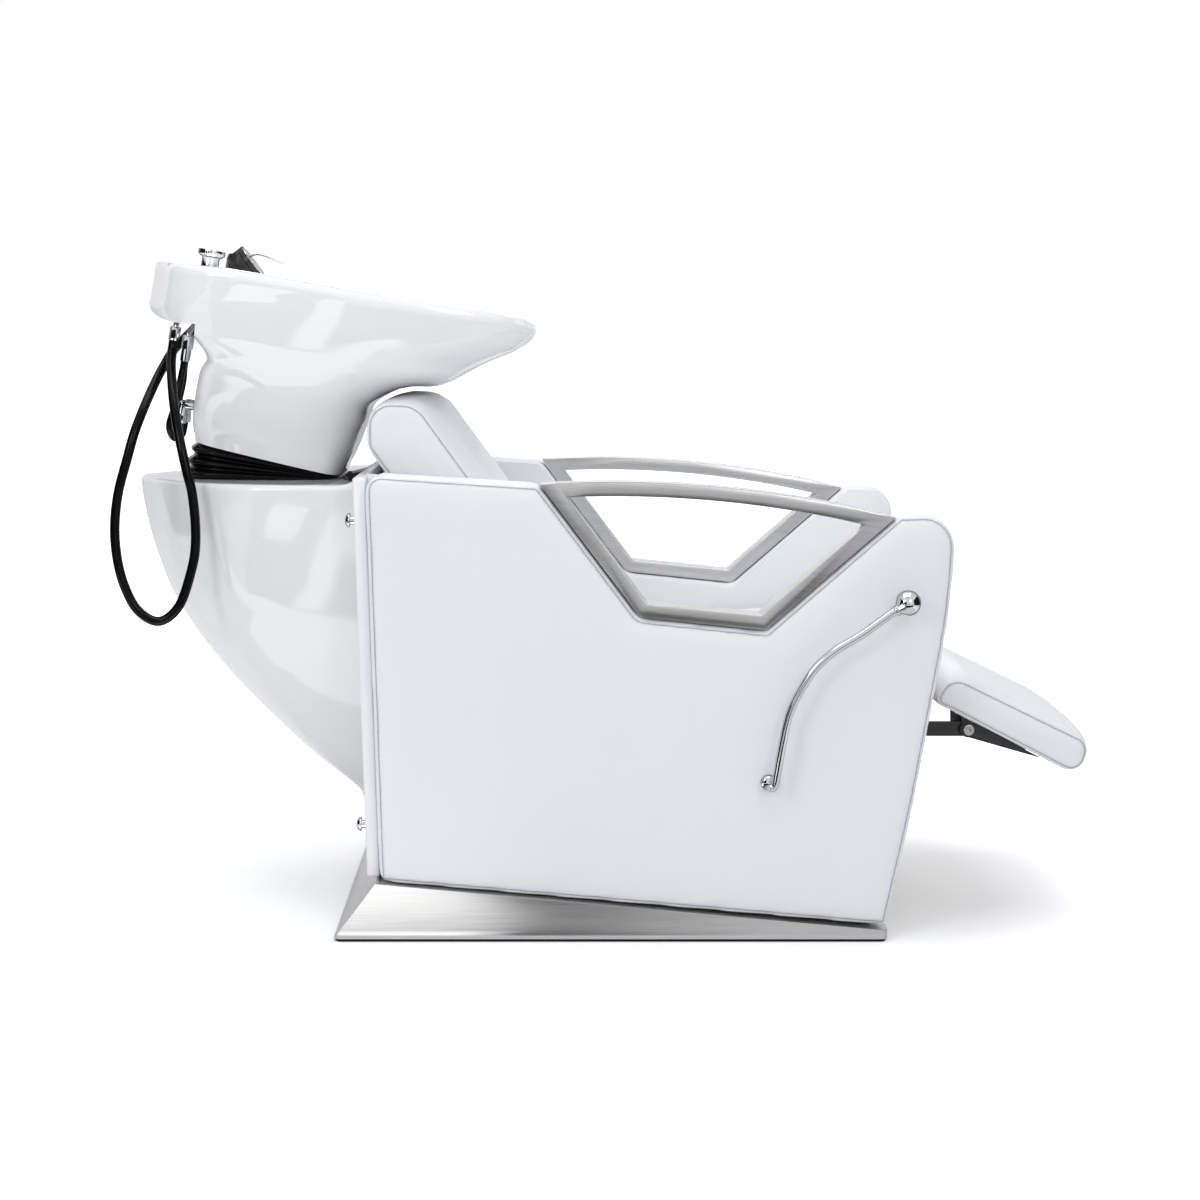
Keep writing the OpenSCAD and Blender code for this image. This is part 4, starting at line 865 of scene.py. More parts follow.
def stitches(name, lines, body):
    """Sunk stitches along seam lines, one small capsule each."""
    points = np.vstack(lines)
    edges = []
    first = 0
    for line in lines:
        n = len(line)
        edges += [(first + i, first + (i + 1) % n) for i in range(n)]
        first += n
    mesh = bpy.data.meshes.new(name)
    mesh.from_pydata([tuple(p) for p in points * MM], edges, [])
    piece = bpy.data.objects.new(name, mesh)
    scene.collection.objects.link(piece)
    tree = Tree(name, Pitch=4.2 * MM, Length=3.8 * MM, Thickness=1.3 * MM, Material=thread.block)
    line = tree.node("GeometryNodeMeshToCurve", {}, {"Mesh": tree.given("Geometry")})
    spots = tree.node("GeometryNodeResampleCurve", {"mode": "LENGTH"}, {
        "Curve": line, "Length": tree.given("Pitch")})
    bead = tree.node("GeometryNodeMeshIcoSphere", {}, {"Radius": 0.5, "Subdivisions": 1})
    size = tree.node("ShaderNodeCombineXYZ", {}, {
        "X": tree.given("Length"), "Y": tree.given("Thickness"), "Z": tree.given("Thickness")})
    heading = tree.node("GeometryNodeInputTangent")
    turn = tree.node("FunctionNodeAlignRotationToVector", {"axis": "X"}, {"Vector": heading})
    tree.close(tree.node("GeometryNodeInstanceOnPoints", {}, {
        "Points": spots, "Instance": bead, "Rotation": turn, "Scale": size}))
    tree.run(piece)
    piece.data.shade_smooth()
    fit(piece, body, thread, "leatherette")


stitches("chair_stitches", chair_seams, "root")
stitches("leg_stitches", leg_seams, "leg_rest")


# Arm frames: closed frames bent and welded from flat stainless bar, brushed along each
# bar, with an arched top.


TOP_BAR = 1
ARCH = 20


def bar_lines(piece, corners):
    """Gives each face corner its place along the nearest bar, for the brush lines."""
    ends = [np.array(corner[:2], float) for corner in corners]
    bars = list(zip(ends, ends[1:] + ends[:1]))
    mark = piece.data.attributes.new("bar", "FLOAT_VECTOR", "CORNER")
    values = np.zeros((len(piece.data.loops), 3))
    for face in piece.data.polygons:
        middle = np.array([face.center.x, face.center.z]) / MM
        best = None
        for k, (a, b) in enumerate(bars):
            t = unit(b - a)
            bow = ARCH * 0.5 if k == TOP_BAR else 0
            off = abs((middle - a) @ np.array([-t[1], t[0]]) - bow)
            reach = (middle - a) @ t
            if -30 < reach < np.linalg.norm(b - a) + 30 and (best is None or off < best[0]):
                best = (off, k, a, t)
        off, k, a, t = best
        for loop in face.loop_indices:
            co = piece.data.vertices[piece.data.loops[loop].vertex_index].co
            p = np.array([co.x, co.z]) / MM - a
            values[loop] = (p @ t * MM + k, p @ np.array([-t[1], t[0]]) * MM, co.y)
    mark.data.foreach_set("vector", values.astype(np.float32).ravel())


bar_steel = brushed("bar_stainless", (0.6, 0.6, 0.595), (14, 1500, 1500), "bar")
for node in ("armrest_near", "armrest_far"):
    bar_lines(dressed(node, bar_steel, 1.2, 30), arm_corners)


# Lever: a chromed rod bent from the hub on the near side up to a ball knob. It turns a shaft
# in a bush in the side board, and a crank and push rod behind it move the leg rest.

chrome = material("chrome", Metallic=1.0, Base_Color=(0.78, 0.79, 0.81), Roughness=0.04,
                  Specular_Tint=(0.0, 0.0, 0.0))
chrome.worn(45, 4, (0.35, 0.03), (0.75, 0.1))
zinc = material("zinc", Metallic=1.0, Roughness=0.32)
zinc.mottled(130, 4, (0.44, 0.43, 0.41), (0.66, 0.65, 0.62))
zinc.grained(400, 2, 0.03)
black_steel = material("black_steel", Base_Color=(0.018, 0.018, 0.019), Roughness=0.36)
black_steel.worn(70, 3, (0.3, 0.3), (0.7, 0.46))
black_steel.grained(420, 2, 0.05)

HUB_Y = -345
ROD_Y = -360
ROD_R = 5.5
ROD = [(223, 232), (229, 235), (233, 256), (237, 282), (241, 305), (245, 326), (252, 349),
       (267, 378), (284, 404), (310, 428), (347, 451), (372, 469), (395, 486), (408, 494)]
BALL = (413, 497)
BALL_R = 18


def lathe(name, profile, axis, steps=64, ribs=0, rib_depth=0.0):
    """A turned part: profile points [radius, height] about an axis [place, direction].
    Ribs, if any, run up its widest band."""
    place, heading = np.array(axis[0], float), Vector(axis[1]).normalized()
    turn = Vector((0, 0, 1)).rotation_difference(heading).to_matrix()
    angles = np.arange(steps) * 2 * math.pi / steps
    widest = max(p[0] for p in profile)
    points = []
    for r, h in profile:
        for a in angles:
            ribbed = ribs and r > widest - 0.6
            groove = rib_depth * (0.5 - 0.5 * math.cos(a * ribs)) if ribbed else 0
            spot = Vector(((r - groove) * math.cos(a), (r - groove) * math.sin(a), h))
            points.append(np.array(turn @ spot) + place)
    faces = []
    for k in range(len(profile) - 1):
        for i in range(steps):
            j = (i + 1) % steps
            faces.append((k * steps + i, k * steps + j, (k + 1) * steps + j, (k + 1) * steps + i))
    faces.append(tuple(range(steps))[::-1])
    faces.append(tuple(range((len(profile) - 1) * steps, len(profile) * steps)))
    return smooth(meshed(name, points, faces), 35)


rod_line = spline([(x, ROD_Y, z) for x, z in ROD], 5)
lever_rod = finished(hose("lever_rod_bent", rod_line, ROD_R))
fit(lever_rod, "lever", chrome, "chrome", "lever_rod")
turns = np.linspace(0.06, math.pi - 0.06, 26)
arc = [(BALL_R * math.sin(a), BALL_R - BALL_R * math.cos(a)) for a in turns]
collar = [(7.4, -3.2), (7.8, -2.6), (7.8, 0.4), (6.6, 1.2)]
knob_way = (0.82, 0, 0.57)
knob_base = np.array([BALL[0], ROD_Y, BALL[1]]) - BALL_R * unit(np.array(knob_way))
knob = lathe("ball_knob", collar + arc[9:], (knob_base, knob_way))
fit(knob, "lever", chrome, "chrome", "lever_ball")
hub = lathe(
    "lever_hub_turned",
    [(9.5, -20), (11, -18.6), (11, -2), (10.2, -0.6), (8.4, 0.4), (4.5, 1.6), (0.5, 2)],
    ((LEVER_AXIS[0], HUB_Y, LEVER_AXIS[1]), (0, -1, 0)))
fit(hub, "lever", chrome, "chrome", "lever_hub")
dressed("lever_shaft", plain_steel, 0.4)
dressed("lever_bush", zinc, 0.4)
dressed("push_rod", black_steel, 0.5)


# Leg rest linkage: links and brackets cut from steel plate and painted black. They turn on
# zinc bolts under the seat board and carry the leg pad.

for node in ("hinge_blocks", "control_brackets", "leg_link_near", "leg_link_far", "control_links",
             "leg_bracket"):
    dressed(node, black_steel, 0.5)
dressed("leg_bolts", zinc, 0.4)


# Column: a glossy moulded cover that leans out like a ship's bow, with a deck on top, on the
# rear board. A steel bracket inside carries the bowl's hinge.

moulded = material("moulded_cover", Base_Color=(0.79, 0.79, 0.8), Roughness=0.07, Coat_Weight=0.3,
                   Coat_Roughness=0.03)
moulded.grained(3.2, 2, 1.2)
moulded.worn(30, 3, (0.3, 0.05), (0.7, 0.11))

COVER_PLAN = np.array([
    (-721, 0), (-700, 60), (-660, 125), (-600, 200), (-530, 230), (-450, 245), (-371, 250)], float)
COVER_SIDE = [
    (-385, 150), (-393, 164), (-419, 185), (-466, 222), (-520, 273), (-574, 328), (-620, 383),
    (-654, 433), (-678, 477), (-695, 523), (-707, 563), (-717, 610), (-721, 642)]
TIP, ROOT = COVER_PLAN[0, 0], COVER_PLAN[-1, 0]
FULLNESS = 0.6
REAR_BOARD_T = 18
DECK_TOP = 650


def walled(piece, thickness, side):
    """An open skin with a wall on its outer side, 1, or its inner side, -1."""
    wall = piece.modifiers.new("wall", "SOLIDIFY")
    wall.thickness = thickness * MM
    wall.offset = side
    return finished(piece)


def cover_arc(x, z, drawn_in=0.0):
    """Plan curve of the cover where its side outline is at x, from the far edge round to the
    near edge. It is the deck's plan, made shorter and, by a lesser share, narrower."""
    back = board_x(z) - REAR_BOARD_T
    scale = (back - x) / (back - TIP)
    half = np.stack([back + (COVER_PLAN[:, 0] - ROOT) * scale * (back - TIP) / (ROOT - TIP),
                     COVER_PLAN[:, 1] * scale**FULLNESS], 1)
    full = np.vstack([half[:0:-1] * (1, -1), half])
    arc = spline(full, 8)
    heads = np.gradient(arc, axis=0)
    heads /= np.linalg.norm(heads, axis=1, keepdims=True)
    arc = arc + drawn_in * np.stack([heads[:, 1], -heads[:, 0]], 1)
    arc[:, 0] = np.minimum(arc[:, 0], back)
    return np.column_stack([arc, np.full(len(arc), z)])


side_line = spline(COVER_SIDE, 4)
levels = [cover_arc(x, z) for x, z in side_line]
LIP_R = 8
for turn in np.linspace(0.2, 1, 6) * math.pi / 2:
    height = DECK_TOP - LIP_R + LIP_R * math.sin(turn)
    levels.append(cover_arc(COVER_SIDE[-1][0], height, LIP_R * (1 - math.cos(turn))))
OPENING = [(-405, 90), (-600, 90), (-600, -90), (-405, -90)]
around = len(levels[0])
opening_line = even(np.array(OPENING, float), 0.1, closed=False)
rim = levels[-1]
share = np.concatenate([[0], np.cumsum(np.linalg.norm(np.diff(rim, axis=0), axis=1))])
picks = (share / share[-1] * (len(opening_line) - 1)).astype(int)
inner = np.column_stack([opening_line[picks] * (1, -1), np.full(around, DECK_TOP)])
levels += [rim * (1 - w) + inner * w for w in (0.15, 0.4, 0.7, 1.0)]
cover_points = np.vstack(levels)

# The deck turns up in a small curve where it meets the rear board.
FILLET_H = 10
FILLET_RUN = 9
to_board = board_x(DECK_TOP) - REAR_BOARD_T - cover_points[:, 0]
rise = FILLET_H * np.exp(-np.maximum(0, to_board) / FILLET_RUN)
cover_points[:, 2] += rise * ramp(cover_points[:, 2], DECK_TOP - FILLET_H, DECK_TOP)
cover_faces = []
for k in range(len(levels) - 1):
    for i in range(around - 1):
        a = k * around + i
        cover_faces.append((a, a + 1, a + around + 1, a + around))
column_cover = walled(meshed("column_cover", cover_points, cover_faces), 4, 1)
smooth(column_cover, 50)
fit(column_cover, "root", moulded, "cover", "cover_shell", "cover_deck")

dressed("bowl_bracket", black_steel, 0.6)
dressed("hinge_pin", plain_steel, 0.4)
dressed("hinge_nuts", zinc, 0.4)


# Domed screws: four chromed screws hold the rear board to the chair. Each stands off the board
# on a spacer and a washer.

SCREW_Y = 285
SCREW_HEIGHTS = (163, 604)
screw = lathe("screw_shape", [
    (5.5, 0), (6, 0.4), (6, 6), (10, 6.2), (10.3, 6.8), (10.3, 8.4), (9.4, 9.2), (8.6, 10.6),
    (6.4, 12.2), (3.4, 13.0), (2.2, 13.1), (2.0, 11.8), (0.4, 11.8)], ((0, 0, 0), (-1, 0, 0.03)), 32)
places = [(board_x(z) - REAR_BOARD_T, y, z) for z in SCREW_HEIGHTS for y in (-SCREW_Y, SCREW_Y)]
spots = meshed("rear_screw_set", places, [])
tree = Tree("screws_on_points", Screw=screw, Material=chrome.block)
form = tree.node("GeometryNodeObjectInfo", {}, {"Object": tree.given("Screw")}, out="Geometry")
tree.close(tree.node("GeometryNodeInstanceOnPoints", {}, {
    "Points": tree.given("Geometry"), "Instance": form}))
tree.run(spots)
bpy.data.objects.remove(screw)
fit(spots, "root", chrome, "chrome", "rear_screws")


# Bowl: one glazed ceramic casting, drawn level and then tilted. Rings run from the foot up
# the outside, over the rim and the deck and down into the basin.

ceramic = material("ceramic", Base_Color=(0.87, 0.87, 0.875), Roughness=0.035, Coat_Weight=0.4,
                   Coat_Roughness=0.02)
ceramic.grained(4.5, 2, 1.0)
ceramic.worn(25, 3, (0.3, 0.03), (0.7, 0.06))

# Half of each ring, from the rear middle to the front middle, on the far side.
BOWL_RINGS = [
    [[-640, 0, 669], [-638, 60, 669], [-625, 100, 668], [-585, 119, 666],
     [-470, 120, 659.5], [-420, 98, 656.5], [-412, 0, 656]],
    [[-633, 0, 692], [-633, 70, 692], [-633, 118, 692], [-580, 125, 691],
     [-465, 126, 690], [-410, 100, 690], [-402, 0, 690]],
    [[-642, 0, 740], [-640, 85, 740], [-631, 148, 740], [-580, 154, 740],
     [-455, 156, 740], [-400, 118, 740], [-391, 0, 740]],
    [[-642, 0, 780], [-639, 100, 780], [-623, 180, 780], [-575, 184, 780],
     [-440, 186, 778], [-389, 138, 774], [-382, 0, 772]],
    [[-638, 0, 800], [-633, 110, 800], [-614, 198, 799], [-575, 200, 802],
     [-428, 202, 802], [-352, 152, 802], [-345, 0, 801]],
    [[-654, 0, 822], [-652, 108, 822], [-637, 198, 823], [-585, 208, 820],
     [-415, 213, 820], [-289, 162, 827], [-297, 0, 811]],
    [[-738, 0, 848], [-720, 108, 848], [-677, 188, 845], [-600, 216, 838],
     [-400, 224, 842], [-255, 168, 857], [-254, 0, 838]],
    [[-744, 0, 872], [-722, 112, 872], [-681, 198, 872], [-602, 231, 874],
     [-385, 239, 876], [-215, 176, 880], [-224, 0, 865]],
    [[-744, 0, 900], [-722, 112, 900], [-682, 202, 902], [-602, 240, 906],
     [-378, 248, 908], [-180, 181, 906], [-216, 0, 871]],
    [[-744, 0, 918], [-722, 112, 918], [-682, 203, 919], [-602, 243, 923],
     [-375, 251, 925], [-165, 183, 925], [-214, 0, 875]],
    [[-741, 0, 923], [-719, 111, 923], [-680, 201, 924.5], [-600, 240, 930],
     [-374, 247, 932], [-168, 180, 934], [-217, 0, 878]],
    [[-734, 0, 924], [-712, 109, 924], [-674, 196, 925.5], [-596, 233, 932],
     [-373, 240, 934], [-176, 176, 935.5], [-223, 0, 878]],
    [[-563, 0, 924], [-563, 70, 924], [-560, 146, 925.5], [-530, 201, 929],
     [-372, 228, 930], [-190, 169, 931], [-232, 0, 874]],
    [[-557, 0, 918], [-557, 69, 918], [-553, 143, 918], [-525, 196, 921],
     [-370, 222, 922], [-198, 164, 921], [-237, 0, 868]],
    [[-552, 0, 880], [-551, 67, 880], [-546, 136, 880], [-516, 186, 882],
     [-372, 213, 884], [-228, 157, 884], [-262, 0, 854]],
    [[-552, 0, 835], [-550, 63, 835], [-543, 122, 835], [-512, 166, 836],
     [-385, 194, 842], [-285, 144, 850], [-305, 0, 836]],
    [[-554, 0, 790], [-552, 57, 790], [-543, 106, 790], [-508, 142, 790],
     [-420, 164, 796], [-352, 122, 820], [-372, 0, 816]],
    [[-553, 0, 750], [-550, 48, 750], [-539, 84, 750], [-504, 112, 750],
     [-440, 126, 754], [-401, 92, 772], [-401, 0, 776]],
    [[-546, 0, 722], [-543, 34, 722], [-533, 58, 722], [-500, 76, 722],
     [-455, 80, 724], [-425, 56, 732], [-423, 0, 736]],
    [[-526, 0, 711], [-523, 16, 711], [-514, 28, 711], [-495, 34, 711],
     [-474, 31, 711], [-458, 17, 712], [-455, 0, 712]],
]
RING_STEPS = 12
FOOT_FRONT = (-412, 656)
FOOT_REAR = (-640, 669)
DECK_RING = 11
DRAIN = (-490, 0)
DRAIN_R = 22.5
BASIN_LOW = 708


def bowl_ring(half):
    """Closed ring from its half, with steps from each corner to the next."""
    p = np.array(half, float)
    return spline(np.vstack([p * (1, -1, 1), p[-2:0:-1]]), RING_STEPS, closed=True)


def lofted(rows, flat, cell):
    """Rows between the given ones, cell apart, on smooth curves through them all.
    After the rows in flat the surface runs straight to the next row."""
    gaps = [np.linalg.norm(b - a, axis=1).mean() for a, b in zip(rows, rows[1:])]
    slopes = [(b - a) / g for a, b, g in zip(rows, rows[1:], gaps)]
    heads = [slopes[0]]
    for k in range(1, len(rows) - 1):
        g, h = gaps[k - 1], gaps[k]
        heads.append((slopes[k - 1] * h + slopes[k] * g) / (g + h))
    heads.append(slopes[-1])
    out = []
    for k, g in enumerate(gaps):
        a, b = rows[k], rows[k + 1]
        ma, mb = heads[k] * g, heads[k + 1] * g
        if k in flat:
            ma = mb = b - a
        n = max(1, math.ceil(g / cell))
        for w in np.arange(n) / n:
            out.append((2 * w**3 - 3 * w**2 + 1) * a + (w**3 - 2 * w**2 + w) * ma
                       + (3 * w**2 - 2 * w**3) * b + (w**3 - w**2) * mb)
    out.append(rows[-1])
    return out


def skin(name, rows, first, last):
    """A closed surface through rings, fanned to a point at each end."""
    n = len(rows[0])
    points = np.vstack([[first], *rows, [last]])
    faces = [(0, 1 + (i + 1) % n, 1 + i) for i in range(n)]
    for k in range(len(rows) - 1):
        for i in range(n):
            a, b = 1 + k * n + i, 1 + k * n + (i + 1) % n
            faces.append((a, b, b + n, a + n))
    top = 1 + (len(rows) - 1) * n
    faces += [(len(points) - 1, top + i, top + (i + 1) % n) for i in range(n)]
    return meshed(name, points, faces)


def prism(name, outline, low, high):
    """An upright prism of a plan outline."""
    n = len(outline)
    points = [(x, y, z) for z in (low, high) for x, y in outline]
    faces = [tuple(range(n))[::-1], tuple(range(n, 2 * n))]
    faces += [(i, (i + 1) % n, (i + 1) % n + n, i + n) for i in range(n)]
    piece = meshed(name, points, faces)
    shape = bmesh.new()
    shape.from_mesh(piece.data)
    bmesh.ops.recalc_face_normals(shape, faces=shape.faces)
    shape.to_mesh(piece.data)
    shape.free()
    return piece


def cut(piece, tool):
    """Takes a tool's shape out of a piece."""
    boolean = piece.modifiers.new("cut", "BOOLEAN")
    boolean.operation = "DIFFERENCE"
    boolean.solver = "EXACT"
    boolean.object = tool
    finished(piece)
    bpy.data.objects.remove(tool)


CIRCLE_STEPS = 48


def circle(x, y, r):
    angles = np.arange(CIRCLE_STEPS) * 2 * math.pi / CIRCLE_STEPS
    return np.stack([x + r * np.cos(angles), y + r * np.sin(angles)], 1)


def grown(outline, d):
    """A closed outline moved outwards by d."""
    heads = np.roll(outline, -1, 0) - np.roll(outline, 1, 0)
    heads /= np.linalg.norm(heads, axis=1, keepdims=True)
    return outline + d * np.stack([heads[:, 1], -heads[:, 0]], 1)


rings = [bowl_ring(half) for half in BOWL_RINGS]
rings[0][:, 2] = along(FOOT_FRONT, FOOT_REAR, rings[0][:, 0])
under_drain = (*DRAIN, along(FOOT_FRONT, FOOT_REAR, DRAIN[0]))
bowl = skin("bowl_cast", lofted(rings, [DECK_RING], 9), under_drain, (*DRAIN, BASIN_LOW))
skirt = bowl_ring(BOWL_RINGS[7])[:, :2]

# The hollow under the rear deck, in two steps: each behind limit, above low, inside a wall.
for limit, low, wall in ((-642, 800, 12), (-592, 842, 26)):
    part = grown(skirt, -wall)
    part = part[part[:, 0] < limit]
    part = part[np.argsort(part[:, 1])]
    ends = [(limit, part[-1][1]), (limit, part[0][1])]
    cut(bowl, prism("hollow", np.vstack([part, ends]), low, 910))

# The hollow in the foot, and the drain's hole through it.
foot = rounded([[-626, -104, 16], [-424, -104, 24], [-424, 104, 24], [-626, 104, 16]], 6)
cut(bowl, prism("hollow", foot, 640, 690))
cut(bowl, prism("hollow", circle(*DRAIN, DRAIN_R), 640, 840))
bowl.data.transform(AT_REST)
smooth(bowl, 38)
fit(bowl, "bowl", ceramic, "ceramic", "bowl")


# Gaiter: a black rubber bellows between the column's deck and the bowl's foot, higher at the
# rear, with three pleats. Its wall follows a rule: two rings, and a wave between them.

LEVELS = 48
FOOT_MIDDLE = (-520, 0)
FULL_FOLD = 50
foot_plan = rings[0][:, :2]
n = len(foot_plan)
low_ring = np.column_stack([grown(foot_plan, 4), np.full(n, DECK_TOP)])
high_plan = grown(foot_plan, -5)
under_foot = along(FOOT_FRONT, FOOT_REAR, high_plan[:, 0]) - 0.3
high_ring = at_rest(np.column_stack([high_plan, under_foot]))
levels_of = np.repeat(np.arange(LEVELS + 1) / LEVELS, n)
start = np.tile(low_ring, (LEVELS + 1, 1))
stop = np.tile(high_ring, (LEVELS + 1, 1))
from_middle = foot_plan - FOOT_MIDDLE
from_middle /= np.linalg.norm(from_middle, axis=1, keepdims=True)
outward = np.tile(np.column_stack([from_middle, np.zeros(n)]), (LEVELS + 1, 1))
gaiter_faces = [(k * n + i, k * n + (i + 1) % n, (k + 1) * n + (i + 1) % n, (k + 1) * n + i)
                for k in range(LEVELS) for i in range(n)]
gaiter = meshed("gaiter_bellows", start, gaiter_faces)
tall = np.tile(np.minimum(1, (high_ring[:, 2] - DECK_TOP) / FULL_FOLD), LEVELS + 1)
MARKS = [
    ("rise", "FLOAT_VECTOR", "vector", (stop - start) * MM),
    ("outward", "FLOAT_VECTOR", "vector", outward),
    ("level", "FLOAT", "value", levels_of),
    ("tall", "FLOAT", "value", tall),
]
for label, kind, field, value in MARKS:
    mark = gaiter.data.attributes.new(label, kind, "POINT")
    mark.data.foreach_set(field, value.astype(np.float32).ravel())
tree = Tree("pleated_wall", Pleats=3.0, Depth=8 * MM, Material=rubber.block)


def named(label, kind="FLOAT"):
    return tree.node("GeometryNodeInputNamedAttribute", {"data_type": kind}, {"Name": label})


def maths(operation, *terms):
    return tree.node("ShaderNodeMath", {"operation": operation}, dict(enumerate(terms)))


def vectors(operation, terms):
    return tree.node("ShaderNodeVectorMath", {"operation": operation}, terms)


angle = maths("MULTIPLY", maths("MULTIPLY", named("level"), tree.given("Pleats")), 2 * math.pi)
wave = maths("MULTIPLY_ADD", maths("COSINE", angle), -0.5, 0.5)
fold = maths("MULTIPLY", maths("MULTIPLY", wave, tree.given("Depth")), named("tall"))
risen = vectors("SCALE", {0: named("rise", "FLOAT_VECTOR"), "Scale": named("level")})
pushed = vectors("SCALE", {0: named("outward", "FLOAT_VECTOR"), "Scale": fold})
tree.close(tree.node("GeometryNodeSetPosition", {}, {
    "Geometry": tree.given("Geometry"), "Offset": vectors("ADD", {0: risen, 1: pushed})}))
walled(tree.run(gaiter), 2.5, -1)
gaiter.data.shade_smooth()
coated(gaiter, rubber)
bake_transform(gaiter)
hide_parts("gaiter")


# Under the bowl: its white-painted steel carrier on zinc bolts, the drain, the trap with its
# short rubber hose, and the stop valves.

dressed("bowl_carrier", white_board, 0.6, slot="white_board")
dressed("carrier_bolts", zinc, 0.4)
dressed("drain_strainer", chrome, 0.5)
dressed("drain_tail", chrome, 0.4)
white_plastic = material("white_plastic", Base_Color=(0.8, 0.8, 0.8), Roughness=0.3)
white_plastic.mottled(20, 3, (0.76, 0.76, 0.76), (0.84, 0.84, 0.83))
dressed("waste_trap", white_plastic, 0.8)
dressed("inlet_valves", chrome, 0.5)
WASTE_R = 20
tail_end = at_rest([DRAIN[0], 0, 632])
waste_line = route(np.array([
    tail_end + 0.3 * SLOPE, tail_end + 36 * SLOPE, [-503, 0, 570], [-505, 0, 535], [-505, 0, 500]]), 6)
waste = coated(finished(hose("waste_hose_run", waste_line, WASTE_R)), rubber)
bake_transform(waste)
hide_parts("waste_hose")


# Shower: a chromed spray head, turned, with a ribbed grip. It stands in a guide in the bowl's
# deck, and its hose leaves the guide below.

DECK_Z = 924
at_deck = at_rest([*GUIDE, DECK_Z])
up = (-SLOPE).tolist()
dressed("shower_guide", chrome, 0.5)
head = lathe("shower_head_turned", [
    (10.9, -32), (11, 0), (11, 4), (13, 4.6), (13, 18), (13.6, 19), (16.6, 20), (19.2, 22.6),
    (20, 23.4), (20, 29), (19.4, 30), (17.6, 30), (17.2, 28.8), (0.5, 28.8)],
    (at_deck, up), 96, 32, 0.7)
fit(head, "shower", chrome, "chrome", "shower_head")


# Mixer: a black barrel that leans forward out of the deck, a turning cap of the same width
# with a bright rim, and a thin lever on a pin in the cap.

black_plastic = material("black_plastic", Base_Color=(0.014, 0.014, 0.015), Roughness=0.3)
black_plastic.grained(600, 2, 0.03)
black_plastic.worn(40, 3, (0.3, 0.25), (0.7, 0.38))
MIXER_Y = 20
BEVEL = math.radians(43)
CAP_BASE = np.array([-611.3, MIXER_Y, 943.3])
CAP_TOP = 8.5
CAP_R = 27.9
MIXER_LEVER_R = 1.6
UPRIGHT = ((0, 0, 0), (0, 0, 1))
on_bevel = Matrix.Translation(Vector(CAP_BASE) * MM) @ Matrix.Rotation(BEVEL, 4, "Y")
cap_way = np.array([math.sin(BEVEL), 0, math.cos(BEVEL)])
dressed("mixer_body", black_plastic, 0.8, 30)
barrel = lathe("mixer_barrel", [
    (CAP_R - 0.6, -20.2), (CAP_R, -19.6), (CAP_R, -13.6), (CAP_R - 0.5, -13.3), (CAP_R - 0.5, -12.7),
    (CAP_R, -12.4), (CAP_R, -0.6), (CAP_R - 0.5, 0), (0.5, 0)], UPRIGHT)
barrel.data.transform(on_bevel)
deck_part = [(-700, -60), (-540, -60), (-540, 100), (-700, 100)]
cut(barrel, prism("under_deck", deck_part, 840, DECK_Z + 0.2))
barrel.data.transform(AT_REST)
fit(smooth(barrel, 35), "bowl", black_plastic, "black_plastic")
cap = lathe("mixer_cap_turned", [
    (8.6, -14), (9, -13.6), (9, 0.5), (CAP_R - 0.5, 0.5), (CAP_R, 1), (CAP_R, CAP_TOP - 0.8),
    (CAP_R - 0.8, CAP_TOP), (0.5, CAP_TOP)], UPRIGHT)
cut(cap, prism("lever_slot", [(-13.8, -2.6), (-1.3, -2.6), (-1.3, 2.6), (-13.8, 2.6)], 2, 20))
cap.data.transform(AT_REST @ on_bevel)
fit(smooth(cap, 35), "mixer_cap", black_plastic, "black_plastic", "mixer_cap")
rim = lathe("cap_rim", [
    (CAP_R - 2, -0.6), (CAP_R - 0.15, -0.6), (CAP_R, -0.2), (CAP_R - 0.15, 0.35), (CAP_R - 0.8, 0.6),
    (CAP_R - 1.5, 0.4), (CAP_R - 2, 0)], ((0, 0, CAP_TOP), (0, 0, 1)))
cut(rim, prism("rim_bore", circle(0, 0, CAP_R - 2.2), 0, 20))
rim.data.transform(AT_REST @ on_bevel)
fit(smooth(rim, 35), "mixer_cap", chrome, "chrome")
pivot = CAP_BASE - 9.3 * np.array([math.cos(BEVEL), 0, -math.sin(BEVEL)]) + 5 * cap_way
lever_line = pivot + np.array([
    [0, 0, 0], [4.1, 0, 2.9], [13, 0, 7.7], [25, 0, 7.7], [40, 0, 4.7], [55, 0, 1.7]])
lever_run = at_rest(spline(lever_line, 5))
mixer_lever = finished(hose("mixer_lever_bent", lever_run, MIXER_LEVER_R))
fit(mixer_lever, "mixer_lever", chrome, "chrome", "mixer_lever")


# Plumbing behind the bowl: chromed pipes from the mixer to three nuts, two short formed
# hoses, and the inlet elbows in the rear wall.

NUT_B = np.array([-661, -135, 824])
NUT_C = np.array([-664, -104, 824])
SHANK_LOW = 872
PIPE_R = 4
FEED_R = 5


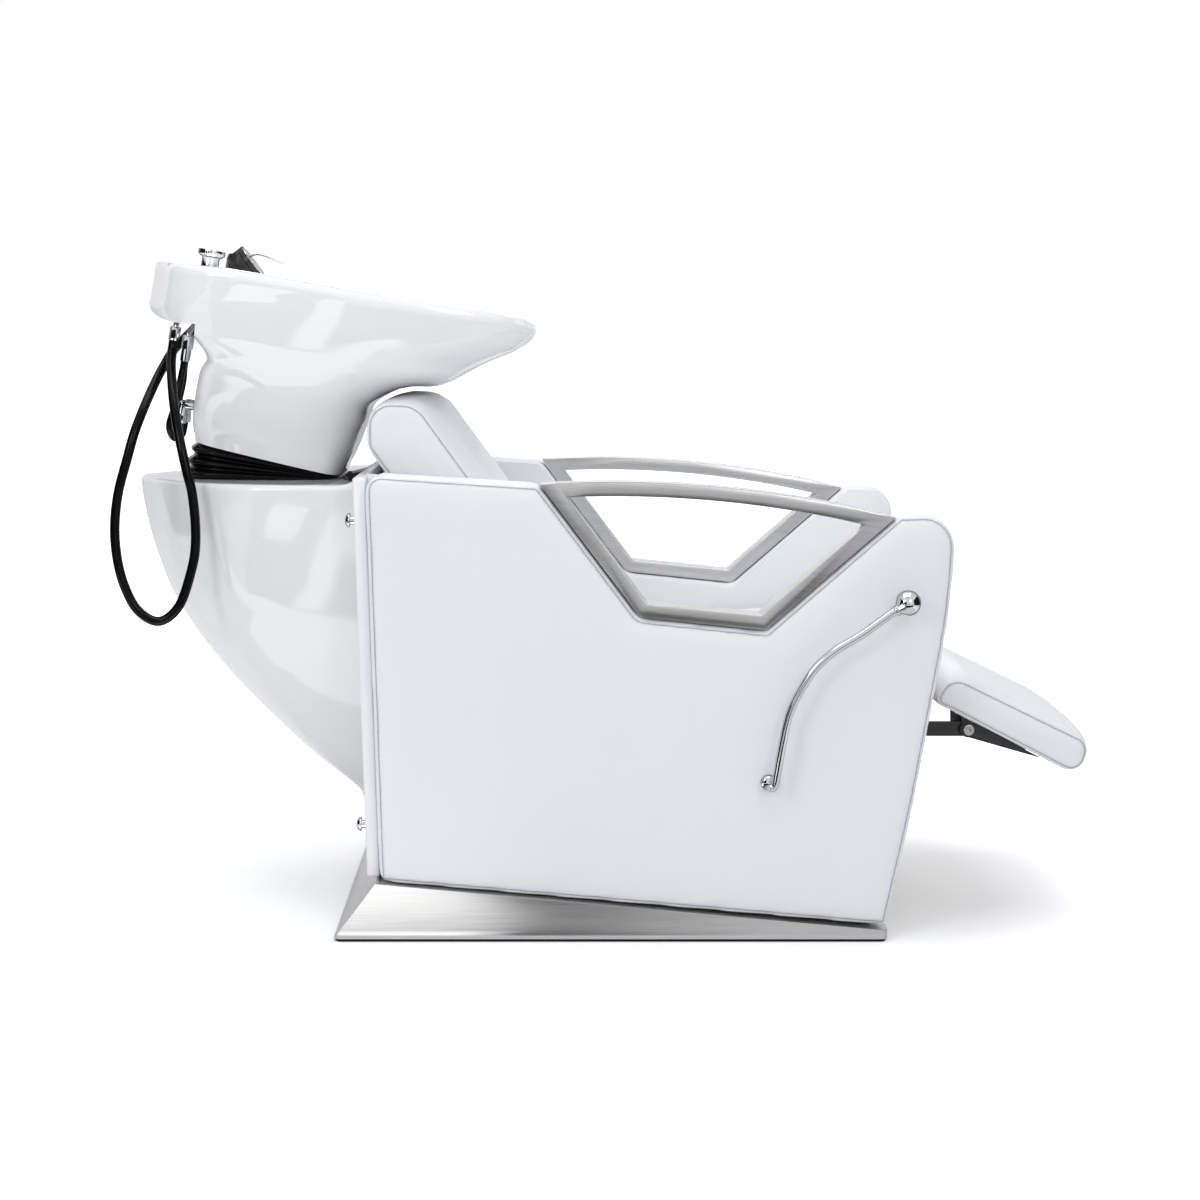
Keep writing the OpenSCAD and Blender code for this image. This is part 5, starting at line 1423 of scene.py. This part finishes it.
def pipe_line(start, end, level):
    """A pipe down from the mixer, across at a level and down into its nut."""
    start, end = np.array(start, float), np.array(end, float)
    return route(np.array([
        start, start - (0, 0, 7), (start[0] - 2, start[1] - 22, level), (-630, -55, level - 1),
        (end[0] + 22, end[1] + 34, level - 2), (end[0] + 5, end[1] + 10, end[2] + 14),
        end + (0, 0, 5), end]), 5)


def joined(name, pieces):
    """Several meshes as one piece."""
    shape = bmesh.new()
    for piece in pieces:
        shape.from_mesh(piece.data)
        bpy.data.objects.remove(piece)
    mesh = bpy.data.meshes.new(name)
    shape.to_mesh(mesh)
    shape.free()
    whole = bpy.data.objects.new(name, mesh)
    scene.collection.objects.link(whole)
    whole.data.shade_smooth()
    return whole


PIPES = [
    ((-624, 13, SHANK_LOW), NUT_A, 860),
    ((-612, 13, SHANK_LOW), NUT_B, 851),
    ((-618, 27, SHANK_LOW), NUT_C, 851),
]
pipes = [finished(hose("pipe", at_rest(pipe_line(*run)), PIPE_R)) for run in PIPES]
fit(joined("mixer_pipe_runs", pipes), "bowl", chrome, "chrome", "mixer_pipes")
FERRULE_LOW = NUT_H + 18
ELBOW_LOW = 694

# Each feed hose with its nut, its elbow's place and the points between them.
FEEDS = [
    (NUT_B, (-656, -110), [
        [-636, -138, 800], [-641, -142, 772], [-648, -143, 750], [-653, -142, 734],
        [-653, -137, 721], [-649, -127, 712], [-645, -116, 714]]),
    (NUT_C, (-656, -66), [
        [-639, -97, 796], [-646, -91, 769], [-651, -88, 750], [-655, -88, 734],
        [-654, -84, 721], [-650, -76, 712], [-646, -69, 715]]),
]
feeds = []
for nut, elbow, middle in FEEDS:
    ends = [at_rest(nut - (0, 0, FERRULE_LOW)), at_rest(nut - (0, 0, FERRULE_LOW + 10))]
    mouth = [at_rest([*elbow, ELBOW_LOW - 10]), at_rest([*elbow, ELBOW_LOW])]
    feed_line = route(np.vstack([ends, middle, mouth]), 5)
    feeds.append(finished(hose("feed", feed_line, FEED_R)))
fit(joined("feed_hose_runs", feeds), "bowl", rubber, "rubber", "feed_hoses")
dressed("pipe_nuts", chrome, 0.5)
dressed("inlet_elbows", chrome, 0.5)
